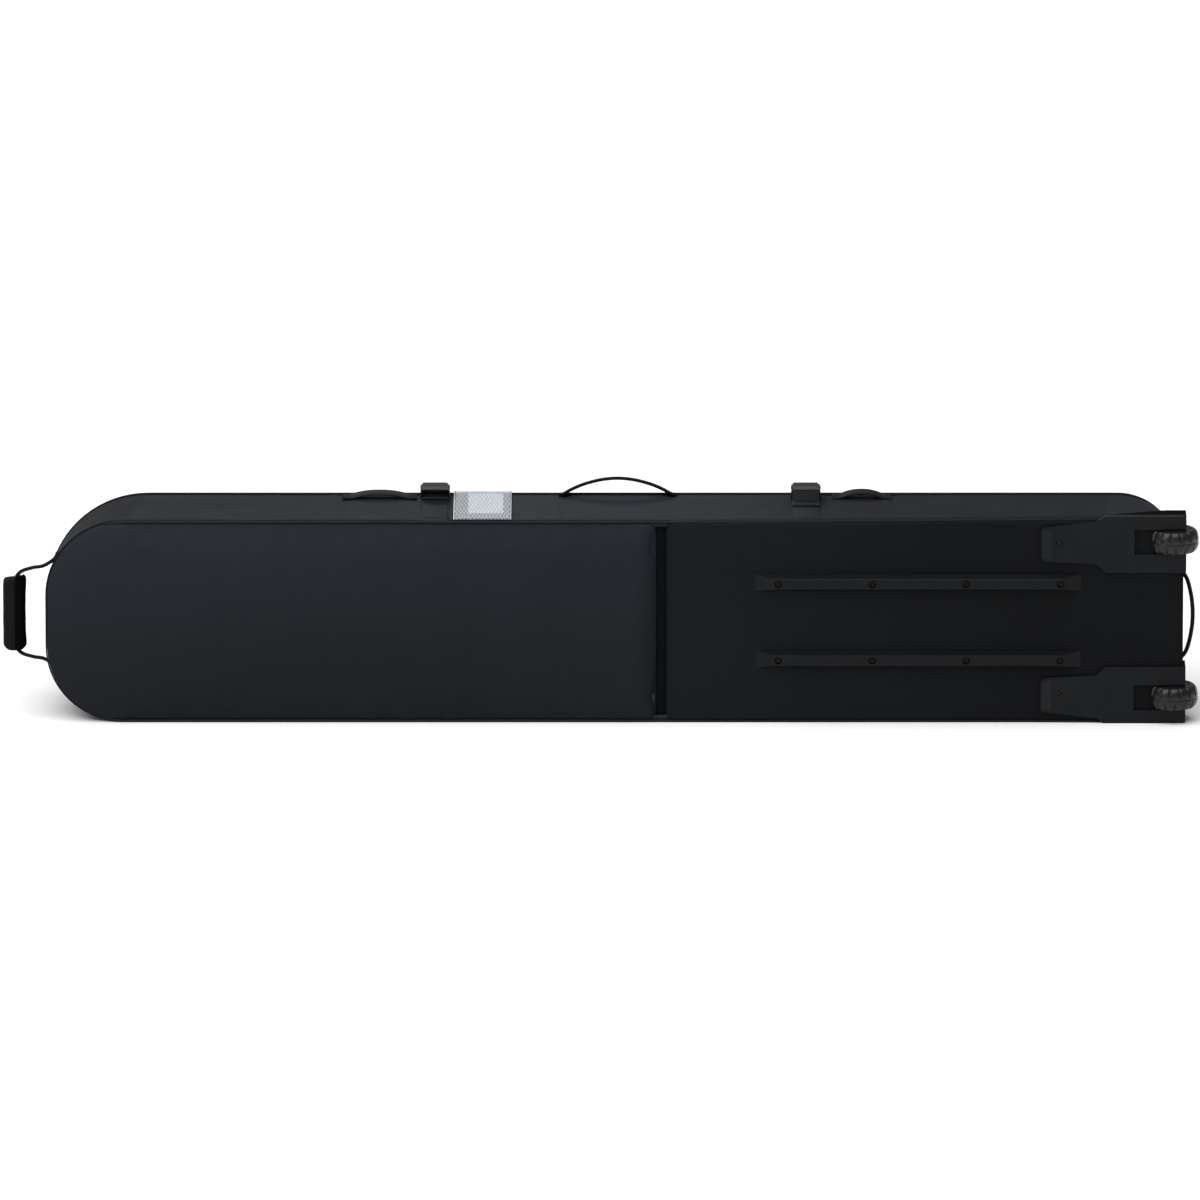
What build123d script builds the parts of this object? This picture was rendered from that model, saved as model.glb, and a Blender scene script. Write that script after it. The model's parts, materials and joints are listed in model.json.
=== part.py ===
"""Wheeled snowboard bag, 1.65 m long, standing on one long side.

Millimetres. +X runs to the wheel end, -Y is the rolling back with its skids, +Y is the front with the lid,
+Z is the long side that carries the handle and the compression straps. The origin is under the middle.
"""

import os

from build123d import *

os.makedirs("parts", exist_ok=True)

# Body
NOSE_X, TAIL_X = -803.0, 847.0
BACK_Y, FRONT_Y = -84.0, 96.0
WIDTH = 300.0
TAIL_WIDTH = 308.0
CORNER_R = 112.0
FRONT_R, TAIL_FRONT_R, TAIL_BACK_R = 146.0, 88.0, 14.0
SKIN = 2.5
PANEL = 14.0
BORDER = 10.0
PIPING_R = 2.0
GUSSET = 8.0
MID_Z = TAIL_WIDTH / 2
END_STRAIGHT_X = NOSE_X + FRONT_R + 5.0
TAIL_GUSSET_X = 735.0
GAP = 0.3

# Rolling base
VALLEY_X = (78.0, 103.0)
BOARD = 4.0
RAIL_X = (224.0, 695.0)
RAIL_Z = (95.0, 209.0)
RAIL_WIDTH, RAIL_TOP_WIDTH, RAIL_HEIGHT, RAIL_RAMP = 25.0, 15.0, 12.0, 28.0
RAIL_SCREW_X = (257.0, 393.0, 529.0, 665.0)
SCREW_R, SCREW_HOLE_R, SCREW_HEAD_R = 2.5, 2.6, 5.0
NUT_R, NUT_HEIGHT, NUT_POCKET_R = 4.6, 4.0, 7.0

# Wheels and their housings
HOUSING_X = 728.0
HOUSING_EDGE_Z = 224.0
HOUSING_T = 4.0
HOUSING_LIP = 36.0
TONGUE_X = 637.0
TONGUE_SCREW_X, TONGUE_SCREW_Z = 664.0, 266.0
WHEEL_X, WHEEL_Y, WHEEL_Z = 829.0, BACK_Y + 13.0, 270.0
WHEEL_R, WHEEL_WIDTH = 36.5, 33.0
SLOT_X, SLOT_HALF = 772.0, 18.5
WELL_WALL, WELL_DEPTH = 3.0, 57.0
AXLE_R, AXLE_BORE_R, AXLE_HOLE_R = 3.95, 4.0, 4.1
BEARING_R, BEARING_WIDTH = 11.0, 7.0
BOLT_HEAD_R = 6.5
AXLE_HEAD, AXLE_TAIL, AXLE_ROOM = 3.5, 7.0, 8.0

# Lid and zipper, as distances in from the front outline
TAPE_INSET, CHAIN_INSET, LID_INSET = 24.0, 34.0, 44.0
CHAIN_GAP, TAPE = 1.2, 2.5
HINGE_X = 700.0
TAPE_Y = FRONT_Y - 3.0
PARK_X = 716.0

# Straps, buckles and handles
WEBBING, WEBBING_WIDTH = 2.0, 38.0
STRAP_X = (-240.0, 298.0)
SOCKET_Y, MOUTH_Y, PLUG_Y = 38.0, 70.0, 88.0
BUCKLE_WIDTH, BUCKLE_HEIGHT = 44.0, 15.0
BUCKLE_WALL, PRONG_T = 2.0, 8.0
TOP_Z = WIDTH + WEBBING
STRAP_DROP = 28.0
HANDLE_WIDTH = 30.0
HAUL_X, HAUL_Y, HAUL_LENGTH = NOSE_X - 46.0, -24.0, 100.0
CARRY_X, CARRY_Y = 24.0, 76.0
TAIL_HANDLE_Y = -52.0
LOOPS = (("nose_loop", -366.0, -275.0, 7.0), ("tail_loop", 345.0, 413.0, 8.0))

# Identification window and inner tie-downs
WINDOW_X, WINDOW_Y, WINDOW_LENGTH, WINDOW_DEPTH, WINDOW_EDGE = -171.0, 8.0, 84.0, 172.0, 8.0
CARD_X, CARD_Y, CARD_LENGTH, CARD_DEPTH = -166.4, 27.0, 51.0, 131.0
TIE_DOWN_X, TIE_DOWN_LENGTH = (-300.0, 350.0), 260.0


def xz_plane(y):
    """A sketch plane at this depth whose x and y are the bag's X and Z; extrusions run to -Y."""
    return Plane.XZ.offset(-y)


def facing_back(x, y, z):
    """A plane whose normal is -Y."""
    return Plane(origin=(x, y, z), x_dir=(1, 0, 0), z_dir=(0, -1, 0))


def save(builder, name):
    builder.part.label = name
    export_step(builder.part, f"parts/{name}.step")


def nose_outline(inset, tail_x, radius=CORNER_R):
    """Closed outline with a round nose and a straight cut at the tail, in the open sketch."""
    low, high, nose = inset, WIDTH - inset, NOSE_X + inset
    with BuildLine() as line:
        FilletPolyline((tail_x, low), (nose, low), (nose, high), (tail_x, high), radius=radius - inset)
        Line((tail_x, high), (tail_x, low))
    make_face(line.edges())


# Back: soft nose half


def back_panels():
    with BuildPart() as skin:
        with BuildSketch(xz_plane(BACK_Y + SKIN)):
            nose_outline(0, VALLEY_X[0])
        extrude(amount=SKIN)
        fillet(skin.edges().filter_by(Axis.Z).group_by(Axis.Y)[0], SKIN * 0.6)
    save(skin, "nose_back_panel")

    with BuildPart() as foam:
        with BuildSketch(xz_plane(BACK_Y + PANEL)):
            nose_outline(GUSSET, VALLEY_X[0])
        extrude(amount=PANEL - SKIN)
    save(foam, "nose_foam")

    with BuildPart() as valley:
        with BuildSketch(xz_plane(BACK_Y + PANEL)):
            with Locations((sum(VALLEY_X) / 2, WIDTH / 2)):
                Rectangle(VALLEY_X[1] - VALLEY_X[0], WIDTH)
        extrude(amount=SKIN)
    save(valley, "valley_strip")

    with BuildPart() as welt:
        with BuildSketch(xz_plane(BACK_Y + SKIN + PIPING_R * 2)):
            nose_outline(0, VALLEY_X[0])
            with BuildSketch(mode=Mode.PRIVATE) as hole:
                nose_outline(PIPING_R * 2, VALLEY_X[0] + 5)
            add(hole.sketch, mode=Mode.SUBTRACT)
        extrude(amount=PIPING_R * 2 - GAP / 2)
    save(welt, "back_piping")


# Back: stiff wheel half


def base_outline(start_x, edge, axle_room):
    """The base's rectangle with its two wheel notches, in the open sketch."""
    end_x = TAIL_X - HOUSING_T
    with Locations(((start_x + end_x) / 2, MID_Z)):
        Rectangle(end_x - start_x, TAIL_WIDTH - 2 * edge)
    notch = SLOT_HALF + WELL_WALL + GAP + axle_room
    notch_x = SLOT_X - WELL_WALL - GAP
    for z in (WHEEL_Z, TAIL_WIDTH - WHEEL_Z):
        with Locations(((notch_x + TAIL_X) / 2, z)):
            Rectangle(TAIL_X - notch_x, 2 * notch, mode=Mode.SUBTRACT)


def rail_screw_planes(y):
    return [facing_back(x, y, z) for x in RAIL_SCREW_X for z in RAIL_Z]


def tongue_screw_planes(y):
    return [facing_back(TONGUE_SCREW_X, y, z) for z in (TONGUE_SCREW_Z, TAIL_WIDTH - TONGUE_SCREW_Z)]


def base_layer(name, edge, front_y, thickness, hole_r, axle_room=0.0):
    with BuildPart() as layer:
        with BuildSketch(xz_plane(front_y)):
            base_outline(VALLEY_X[1], edge, axle_room)
        extrude(amount=thickness)
        with Locations(*rail_screw_planes(front_y), *tongue_screw_planes(front_y)):
            Cylinder(hole_r, 3 * thickness, mode=Mode.SUBTRACT)
    save(layer, name)


def base_layers():
    board_y = BACK_Y + SKIN + BOARD
    foam = PANEL - SKIN - BOARD
    base_layer("base_panel", HOUSING_T, BACK_Y + SKIN, SKIN, SCREW_HOLE_R)
    base_layer("base_board", GUSSET, board_y, BOARD, SCREW_HOLE_R, AXLE_ROOM)
    base_layer("base_foam", GUSSET + HOUSING_T, BACK_Y + PANEL, foam, NUT_POCKET_R, AXLE_ROOM)


def skid_rail(name, z):
    mid_x, length = sum(RAIL_X) / 2, RAIL_X[1] - RAIL_X[0]
    with BuildPart() as rail:
        with BuildSketch(xz_plane(BACK_Y)):
            with Locations((mid_x, z)):
                Rectangle(length, RAIL_WIDTH)
        with BuildSketch(xz_plane(BACK_Y - RAIL_HEIGHT)):
            with Locations((mid_x, z)):
                Rectangle(length - 2 * RAIL_RAMP, RAIL_TOP_WIDTH)
        loft(ruled=True)
        fillet(rail.edges().group_by(Axis.Y)[0], 1.5)
        with Locations(*[facing_back(x, BACK_Y - RAIL_HEIGHT, z) for x in RAIL_SCREW_X]):
            CounterBoreHole(SCREW_HOLE_R, SCREW_HEAD_R + GAP, 5.0)
    save(rail, name)


def screws_and_nuts():
    head_y = BACK_Y - RAIL_HEIGHT + 5.0
    nut_y = BACK_Y + SKIN + BOARD
    with BuildPart() as screws:
        for plane in rail_screw_planes(head_y):
            with Locations(plane):
                Cylinder(SCREW_HEAD_R, 3.0, align=(Align.CENTER, Align.CENTER, Align.MIN))
                Cylinder(SCREW_R, nut_y + NUT_HEIGHT - head_y, align=(Align.CENTER, Align.CENTER, Align.MAX))
                with Locations((0, 0, 3.0)):
                    Cylinder(1.6, 2.0, align=(Align.CENTER, Align.CENTER, Align.MAX), mode=Mode.SUBTRACT)
    save(screws, "rail_screws")

    with BuildPart() as housing_screws:
        for plane in tongue_screw_planes(BACK_Y - HOUSING_T):
            with Locations(plane):
                Cylinder(SCREW_HEAD_R, 3.0, align=(Align.CENTER, Align.CENTER, Align.MIN))
                Cylinder(
                    SCREW_R, nut_y + NUT_HEIGHT - BACK_Y + HOUSING_T, align=(Align.CENTER, Align.CENTER, Align.MAX)
                )
    save(housing_screws, "housing_screws")

    with BuildPart() as nuts:
        for plane in rail_screw_planes(nut_y) + tongue_screw_planes(nut_y):
            with BuildSketch(plane):
                RegularPolygon(NUT_R, 6)
                Circle(SCREW_HOLE_R, mode=Mode.SUBTRACT)
            extrude(amount=-NUT_HEIGHT)
    save(nuts, "base_nuts")


# Wheel housings


def wheel_housings():
    low, high = HOUSING_EDGE_Z, TAIL_WIDTH
    with BuildPart() as upper:
        with BuildSketch(xz_plane(BACK_Y)):
            with BuildLine():
                FilletPolyline(
                    (TONGUE_X, 241),
                    (HOUSING_X - 10, 237),
                    (HOUSING_X + 3, low),
                    (TAIL_X, low),
                    (TAIL_X, high),
                    (HOUSING_X, high),
                    (HOUSING_X - 10, 301),
                    (TONGUE_X, 291),
                    radius=(8, 5, 6, 4, 6, 5, 5, 8),
                    close=True,
                )
            make_face()
        extrude(amount=HOUSING_T)
        # side lip and end lip
        with BuildSketch(Plane.XY.offset(high - HOUSING_T)):
            with BuildLine():
                Polyline(
                    (HOUSING_X, BACK_Y),
                    (HOUSING_X, BACK_Y + 6),
                    (TAIL_X - 30, BACK_Y + HOUSING_LIP),
                    (TAIL_X, BACK_Y + HOUSING_LIP),
                    (TAIL_X, BACK_Y),
                    close=True,
                )
            make_face()
        extrude(amount=HOUSING_T)
        with Locations((TAIL_X - HOUSING_T / 2, BACK_Y + HOUSING_LIP / 2, (low + high) / 2)):
            Box(HOUSING_T, HOUSING_LIP, high - low)
        # well round the wheel
        well_x = SLOT_X - WELL_WALL
        with Locations(((well_x + TAIL_X) / 2, BACK_Y + WELL_DEPTH / 2, WHEEL_Z)):
            Box(TAIL_X - well_x, WELL_DEPTH, 2 * (SLOT_HALF + WELL_WALL))
        slot_depth = WELL_DEPTH - WELL_WALL
        with Locations(((SLOT_X + TAIL_X + 5) / 2, BACK_Y - 10 + (slot_depth + 10) / 2, WHEEL_Z)):
            Box(TAIL_X + 5 - SLOT_X, slot_depth + 10, 2 * SLOT_HALF, mode=Mode.SUBTRACT)
        with Locations((WHEEL_X, WHEEL_Y, WHEEL_Z)):
            Cylinder(AXLE_HOLE_R, 60, mode=Mode.SUBTRACT)
        with Locations(facing_back(TONGUE_SCREW_X, BACK_Y, TONGUE_SCREW_Z)):
            Cylinder(SCREW_HOLE_R, 3 * HOUSING_T, mode=Mode.SUBTRACT)
    save(upper, "wheel_housing_upper")

    with BuildPart() as lower:
        add(mirror(upper.part, about=Plane.XY.offset(MID_Z), mode=Mode.PRIVATE))
    save(lower, "wheel_housing_lower")


def wheel(side, z):
    """Tread, hub, bearings and spacer of one wheel."""
    here = Plane(origin=(WHEEL_X, WHEEL_Y, z))
    half = WHEEL_WIDTH / 2
    with BuildPart() as tread:
        with BuildSketch(Plane(origin=here.origin, x_dir=(1, 0, 0), z_dir=(0, -1, 0))):
            with BuildLine():
                Polyline((WHEEL_R - 9, -half), (23, -half), (23, half), (WHEEL_R - 9, half))
                ThreePointArc((WHEEL_R - 9, half), (WHEEL_R, 0), (WHEEL_R - 9, -half))
            make_face()
        revolve(axis=Axis(here.origin, (0, 0, 1)))
    save(tread, f"wheel_tread_{side}")

    with BuildPart() as hub:
        with BuildSketch(here.offset(-half)):
            Circle(23)
        extrude(amount=WHEEL_WIDTH)
        with Locations(here.offset(-half)):
            Cylinder(AXLE_BORE_R + 2.5, WHEEL_WIDTH, align=(Align.CENTER, Align.CENTER, Align.MIN), mode=Mode.SUBTRACT)
        for face_z in (-half, half - BEARING_WIDTH):
            with Locations(here.offset(face_z)):
                Cylinder(BEARING_R, BEARING_WIDTH, align=(Align.CENTER, Align.CENTER, Align.MIN), mode=Mode.SUBTRACT)
    save(hub, f"wheel_hub_{side}")

    with BuildPart() as bearings:
        for face_z in (-half, half - BEARING_WIDTH):
            with BuildSketch(here.offset(face_z)):
                Circle(BEARING_R)
                Circle(AXLE_BORE_R, mode=Mode.SUBTRACT)
            extrude(amount=BEARING_WIDTH)
    save(bearings, f"wheel_bearings_{side}")

    with BuildPart() as spacer:
        with BuildSketch(here.offset(-half + BEARING_WIDTH)):
            Circle(6)
            Circle(AXLE_BORE_R, mode=Mode.SUBTRACT)
        extrude(amount=WHEEL_WIDTH - 2 * BEARING_WIDTH)
    save(spacer, f"bearing_spacer_{side}")


def axles():
    """One bolt through each well, its head to the bag's side and its nut to the middle."""
    wall = SLOT_HALF + WELL_WALL
    wells = (
        Plane(origin=(WHEEL_X, WHEEL_Y, WHEEL_Z)),
        Plane(origin=(WHEEL_X, WHEEL_Y, TAIL_WIDTH - WHEEL_Z), z_dir=(0, 0, -1)),
    )
    with BuildPart() as bolts:
        for well in wells:
            with Locations(well.offset(wall)):
                Cylinder(BOLT_HEAD_R, AXLE_HEAD, align=(Align.CENTER, Align.CENTER, Align.MIN))
                Cylinder(AXLE_R, 2 * wall + AXLE_TAIL, align=(Align.CENTER, Align.CENTER, Align.MAX))
    save(bolts, "axle_bolts")
    with BuildPart() as nuts:
        for well in wells:
            with BuildSketch(well.offset(-wall)):
                RegularPolygon(BOLT_HEAD_R, 6)
                Circle(AXLE_BORE_R, mode=Mode.SUBTRACT)
            extrude(amount=-AXLE_TAIL + 1)
    save(nuts, "axle_nuts")


# Sides and ends


def tail_outline(inset, low, high, radius):
    """Closed outline of the tail end, moved in by the inset, in the open sketch."""
    end_x = TAIL_X - HOUSING_T - GAP
    with BuildLine() as line:
        FilletPolyline(
            (TAIL_GUSSET_X - inset, low + inset),
            (end_x - inset, low + inset),
            (end_x - inset, high - inset),
            (TAIL_GUSSET_X - inset, high - inset),
            radius=radius - inset,
        )
        Line((TAIL_GUSSET_X - inset, high - inset), (TAIL_GUSSET_X - inset, low + inset))
    make_face(line.edges())


def gussets():
    back, front = BACK_Y + PANEL, FRONT_Y - BORDER
    depth = front - back
    for name, z in (("upper_gusset", WIDTH - GUSSET / 2), ("lower_gusset", GUSSET / 2)):
        with BuildPart() as side:
            with Locations(((END_STRAIGHT_X + TAIL_GUSSET_X) / 2, (back + front) / 2, z)):
                Box(TAIL_GUSSET_X - END_STRAIGHT_X, depth, GUSSET)
        save(side, name)

    ends = ((back, CORNER_R), (front, FRONT_R))
    with BuildPart() as hollow:
        for y, radius in ends:
            with BuildSketch(xz_plane(y)):
                nose_outline(GUSSET, END_STRAIGHT_X, radius)
        loft(ruled=True)
    with BuildPart() as nose:
        for y, radius in ends:
            with BuildSketch(xz_plane(y)):
                nose_outline(0, END_STRAIGHT_X, radius)
        loft(ruled=True)
        add(hollow.part, mode=Mode.SUBTRACT)
    save(nose, "nose_gusset")

    edge = HOUSING_T + GAP
    sections = ((back, edge + 1, TAIL_WIDTH - edge, TAIL_BACK_R), (front, 0, WIDTH, TAIL_FRONT_R))
    with BuildPart() as hollow:
        for y, low, high, radius in sections:
            with BuildSketch(xz_plane(y)):
                tail_outline(GUSSET, low, high, radius)
        loft(ruled=True)
    with BuildPart() as tail:
        for y, low, high, radius in sections:
            with BuildSketch(xz_plane(y)):
                tail_outline(0, low, high, radius)
        loft(ruled=True)
        add(hollow.part, mode=Mode.SUBTRACT)
        wall = SLOT_HALF + WELL_WALL
        low, high = WHEEL_Z - wall - AXLE_ROOM, WHEEL_Z + wall + AXLE_HEAD + GAP
        for z in ((low + high) / 2, TAIL_WIDTH - (low + high) / 2):
            with Locations((TAIL_X - 40, BACK_Y + WELL_DEPTH / 2, z)):
                Box(90, WELL_DEPTH + 2 * GAP, high - low, mode=Mode.SUBTRACT)
    save(tail, "tail_gusset")


# Front: border, zipper and lid


def front_outline(inset):
    """The front's outline, round at both ends."""
    nose, end, low, high = NOSE_X + inset, TAIL_X - HOUSING_T - GAP - inset, inset, WIDTH - inset
    radii = [r - inset for r in (TAIL_FRONT_R, FRONT_R, FRONT_R, TAIL_FRONT_R)]
    with BuildLine() as line:
        FilletPolyline((end, low), (nose, low), (nose, high), (end, high), radius=radii, close=True)
    make_face(line.edges())


def front_pieces():
    with BuildPart() as border:
        with BuildSketch(xz_plane(FRONT_Y)):
            front_outline(0)
            with BuildSketch(mode=Mode.PRIVATE) as hole:
                nose_outline(TAPE_INSET, HINGE_X + GAP, FRONT_R)
            add(hole.sketch, mode=Mode.SUBTRACT)
            for z in (CHAIN_INSET, WIDTH - CHAIN_INSET):
                with Locations((PARK_X, z)):
                    Rectangle(2 * (PARK_X - HINGE_X), 2 * (CHAIN_INSET - TAPE_INSET), mode=Mode.SUBTRACT)
        extrude(amount=BORDER)
    save(border, "front_border")

    def tape(name, outer, inner, park):
        with BuildPart() as strip:
            with BuildSketch(xz_plane(TAPE_Y)):
                nose_outline(outer, HINGE_X + 1 if park else HINGE_X - GAP, FRONT_R)
                with BuildSketch(mode=Mode.PRIVATE) as hole:
                    nose_outline(inner, HINGE_X + 2, FRONT_R)
                add(hole.sketch, mode=Mode.SUBTRACT)
                for z in (CHAIN_INSET, WIDTH - CHAIN_INSET) if park else ():
                    length = 2 * (PARK_X - HINGE_X)
                    with Locations((PARK_X, z)):
                        Rectangle(length - 2 * GAP, 2 * (CHAIN_INSET - TAPE_INSET))
                    with Locations((PARK_X - 4, z)):
                        Rectangle(length, CHAIN_GAP, mode=Mode.SUBTRACT)
            extrude(amount=TAPE)
        save(strip, name)

    tape("zipper_tape_body", TAPE_INSET, CHAIN_INSET - CHAIN_GAP / 2, True)
    tape("zipper_tape_lid", CHAIN_INSET + CHAIN_GAP / 2, LID_INSET, False)

    with BuildPart() as lid:
        with BuildSketch(xz_plane(FRONT_Y)):
            nose_outline(LID_INSET, HINGE_X, FRONT_R)
        extrude(amount=SKIN)
    save(lid, "lid_panel")
    with BuildPart() as foam:
        with BuildSketch(xz_plane(FRONT_Y - SKIN)):
            nose_outline(LID_INSET + 4, HINGE_X - 4, FRONT_R)
        extrude(amount=BORDER - SKIN)
    save(foam, "lid_foam")

    for side, z in (("upper", WIDTH - CHAIN_INSET), ("lower", CHAIN_INSET)):
        with BuildPart() as slider:
            with Locations((PARK_X, TAPE_Y + 1.5, z), (PARK_X, TAPE_Y - TAPE - 1.5, z)):
                Box(17, 2.4, 13)
            with Locations((PARK_X, TAPE_Y - TAPE / 2, z)):
                Box(8, TAPE + 1.0, CHAIN_GAP - 0.4)
            with Locations((PARK_X, TAPE_Y + 4.2, z)):
                Box(9, 3.4, 4)
                Box(4.6, 1.8, 6, mode=Mode.SUBTRACT)
        save(slider, f"zip_slider_{side}")
        with BuildPart() as pull:
            with Locations((PARK_X + 18, TAPE_Y + 4.2, z)):
                Box(36 + 1.4, 1.4, 9)
            with Locations((PARK_X + 3, TAPE_Y + 4.2, z)):
                Box(9.4, 2, 5, mode=Mode.SUBTRACT)
            with Locations((PARK_X, TAPE_Y + 4.2, z)):
                Cylinder(0.7, 9)
        save(pull, f"zip_pull_{side}")


# Compression straps with side-release buckles


def compression_strap(number, x):
    back = BACK_Y + SKIN + GAP
    with BuildPart() as webbing:
        with Locations((x, (back + MOUTH_Y - 6) / 2, WIDTH + WEBBING / 2)):
            Box(WEBBING_WIDTH, MOUTH_Y - 6 - back, WEBBING - 0.1)
    save(webbing, f"strap_{number}_webbing")

    mid_z = TOP_Z + BUCKLE_HEIGHT / 2
    with BuildPart() as socket:
        with Locations((x, (SOCKET_Y + MOUTH_Y) / 2, mid_z)):
            Box(BUCKLE_WIDTH, MOUTH_Y - SOCKET_Y, BUCKLE_HEIGHT)
        fillet(socket.edges().filter_by(Axis.Y), 2.5)
        with Locations((x, (SOCKET_Y + 9 + MOUTH_Y + 1) / 2, mid_z)):
            Box(BUCKLE_WIDTH + 1, MOUTH_Y - SOCKET_Y - 8, BUCKLE_HEIGHT - 2 * BUCKLE_WALL, mode=Mode.SUBTRACT)
        with Locations((x, SOCKET_Y + 5, mid_z)):
            Box(WEBBING_WIDTH + 1, 4, BUCKLE_HEIGHT + 1, mode=Mode.SUBTRACT)
    save(socket, f"strap_{number}_socket")

    with BuildPart() as plug:
        with Locations((x, (MOUTH_Y + 0.5 + PLUG_Y) / 2, mid_z)):
            Box(BUCKLE_WIDTH, PLUG_Y - MOUTH_Y - 0.5, BUCKLE_HEIGHT)
        fillet(plug.edges().filter_by(Axis.Y), 2.5)
        with Locations((x, MOUTH_Y - 9, mid_z)):
            Box(8, 19.5, PRONG_T)
        for side in (-1, 1):
            with Locations((x + side * 15, MOUTH_Y + 3, mid_z)):
                Box(11, 7, PRONG_T + 1, mode=Mode.SUBTRACT)
        with Locations((x, PLUG_Y - 5, mid_z)):
            Box(WEBBING_WIDTH + 1, 3.5, BUCKLE_HEIGHT + 1, mode=Mode.SUBTRACT)
    save(plug, f"strap_{number}_plug")

    for side, sign in (("left", -1), ("right", 1)):
        with BuildPart() as prong:
            with BuildSketch(Plane(origin=(x, MOUTH_Y, mid_z - PRONG_T / 2))):
                with BuildLine():
                    Polyline(
                        (sign * 12.5, 5),
                        (sign * 12.5, -18),
                        (sign * 15, -19),
                        (sign * 20.6, -12),
                        (sign * 21.6, -4),
                        (sign * 16, 5),
                        close=True,
                    )
                make_face()
            extrude(amount=PRONG_T)
        save(prong, f"strap_{number}_prong_{side}")

    tail_y, tail_z = FRONT_Y + GAP + WEBBING, TOP_Z + WEBBING
    with BuildPart() as tail:
        with Locations((x, (PLUG_Y + 0.1 + tail_y) / 2, tail_z - WEBBING / 2)):
            Box(WEBBING_WIDTH, tail_y - PLUG_Y - 0.1, WEBBING)
        with Locations((x, tail_y - WEBBING / 2, tail_z - STRAP_DROP / 2)):
            Box(WEBBING_WIDTH, WEBBING, STRAP_DROP)
    save(tail, f"strap_{number}_tail")


# Handles, loops and the identification window


def arch(points, radius, width, thickness, plane):
    """A strip of webbing that follows rounded corners in the given plane, centred across it."""
    with BuildPart() as strip:
        with BuildSketch(plane):
            with BuildLine() as line:
                FilletPolyline(*points, radius=radius)
            trace(line.edges(), line_width=thickness)
        extrude(amount=width / 2, both=True)
    return strip


def handles():
    nose_plane = Plane(origin=(NOSE_X, HAUL_Y, WIDTH / 2), x_dir=(0, 0, 1), z_dir=(0, 1, 0))
    haul_points = [(-74, -7.5), (-62, -47), (62, -47), (74, -7.5)]
    save(arch(haul_points, 12, HANDLE_WIDTH, 3, nose_plane), "haul_handle_webbing")
    with BuildPart() as grip:
        with BuildSketch(Plane(origin=(HAUL_X, HAUL_Y, (WIDTH - HAUL_LENGTH) / 2))):
            RectangleRounded(34, 42, 10)
            RectangleRounded(16, 35, 3, mode=Mode.SUBTRACT)
        extrude(amount=HAUL_LENGTH)
    save(grip, "haul_handle_grip")

    side_plane = Plane(origin=(CARRY_X, CARRY_Y, WIDTH), x_dir=(1, 0, 0), z_dir=(0, -1, 0))
    carry_points = [(-79, 7), (-45, 18), (0, 24), (45, 18), (79, 7)]
    save(arch(carry_points, 60, HANDLE_WIDTH, 3, side_plane), "carry_handle")

    tail_plane = Plane(origin=(TAIL_X - HOUSING_T, TAIL_HANDLE_Y, MID_Z), x_dir=(0, 0, 1), z_dir=(0, 1, 0))
    tail_points = [(-66, 6.5), (-36, 15), (36, 15), (66, 6.5)]
    save(arch(tail_points, 40, HANDLE_WIDTH, 3, tail_plane), "tail_handle")

    for name, low_x, high_x, rise in LOOPS:
        middle, reach = (low_x + high_x) / 2, (high_x - low_x) / 2
        plane = Plane(origin=(middle, CARRY_Y - 10, WIDTH), x_dir=(1, 0, 0), z_dir=(0, -1, 0))
        loop_points = [(-reach, 1.3), (-reach / 2, rise), (reach / 2, rise), (reach, 1.3)]
        save(arch(loop_points, 30, HANDLE_WIDTH, 2, plane), name)


def window():
    with BuildPart() as frame:
        with BuildSketch(Plane.XY.offset(WIDTH)):
            with Locations((WINDOW_X, WINDOW_Y)):
                Rectangle(WINDOW_LENGTH, WINDOW_DEPTH)
            with Locations((WINDOW_X, WINDOW_Y + WINDOW_EDGE)):
                Rectangle(WINDOW_LENGTH - 2 * WINDOW_EDGE, WINDOW_DEPTH, mode=Mode.SUBTRACT)
        extrude(amount=1.5)
    save(frame, "window_binding")
    with BuildPart() as film:
        with BuildSketch(Plane.XY.offset(WIDTH + 1.5)):
            with Locations((WINDOW_X, WINDOW_Y)):
                Rectangle(WINDOW_LENGTH, WINDOW_DEPTH)
        extrude(amount=0.6)
    save(film, "window_film")
    with BuildPart() as card:
        with BuildSketch(Plane.XY.offset(WIDTH + 0.4)):
            with Locations((CARD_X, CARD_Y)):
                Rectangle(CARD_LENGTH, CARD_DEPTH)
        extrude(amount=0.5)
    save(card, "name_card")


def tie_downs():
    floor_y = BACK_Y + PANEL
    with BuildPart() as straps:
        for x in TIE_DOWN_X:
            with Locations((x, floor_y + 1.2, MID_Z)):
                Box(WEBBING_WIDTH, WEBBING, TIE_DOWN_LENGTH)
    save(straps, "tie_down_straps")
    with BuildPart() as buckles:
        for x in TIE_DOWN_X:
            with Locations((x, floor_y + 2.4 + 4, MID_Z)):
                Box(46, 8, 50)
                with Locations((0, 0, 14), (0, 0, -14)):
                    Box(39, 9, 5, mode=Mode.SUBTRACT)
            with Locations((x, floor_y + 6.4, MID_Z)):
                Box(30, 3, 60, mode=Mode.SUBTRACT)
    save(buckles, "tie_down_buckles")


back_panels()
base_layers()
skid_rail("skid_rail_lower", RAIL_Z[0])
skid_rail("skid_rail_upper", RAIL_Z[1])
screws_and_nuts()
wheel_housings()
wheel("upper", WHEEL_Z)
wheel("lower", TAIL_WIDTH - WHEEL_Z)
axles()
gussets()
front_pieces()
for index, strap_x in enumerate(STRAP_X, start=1):
    compression_strap(index, strap_x)
handles()
window()
tie_downs()
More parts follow.
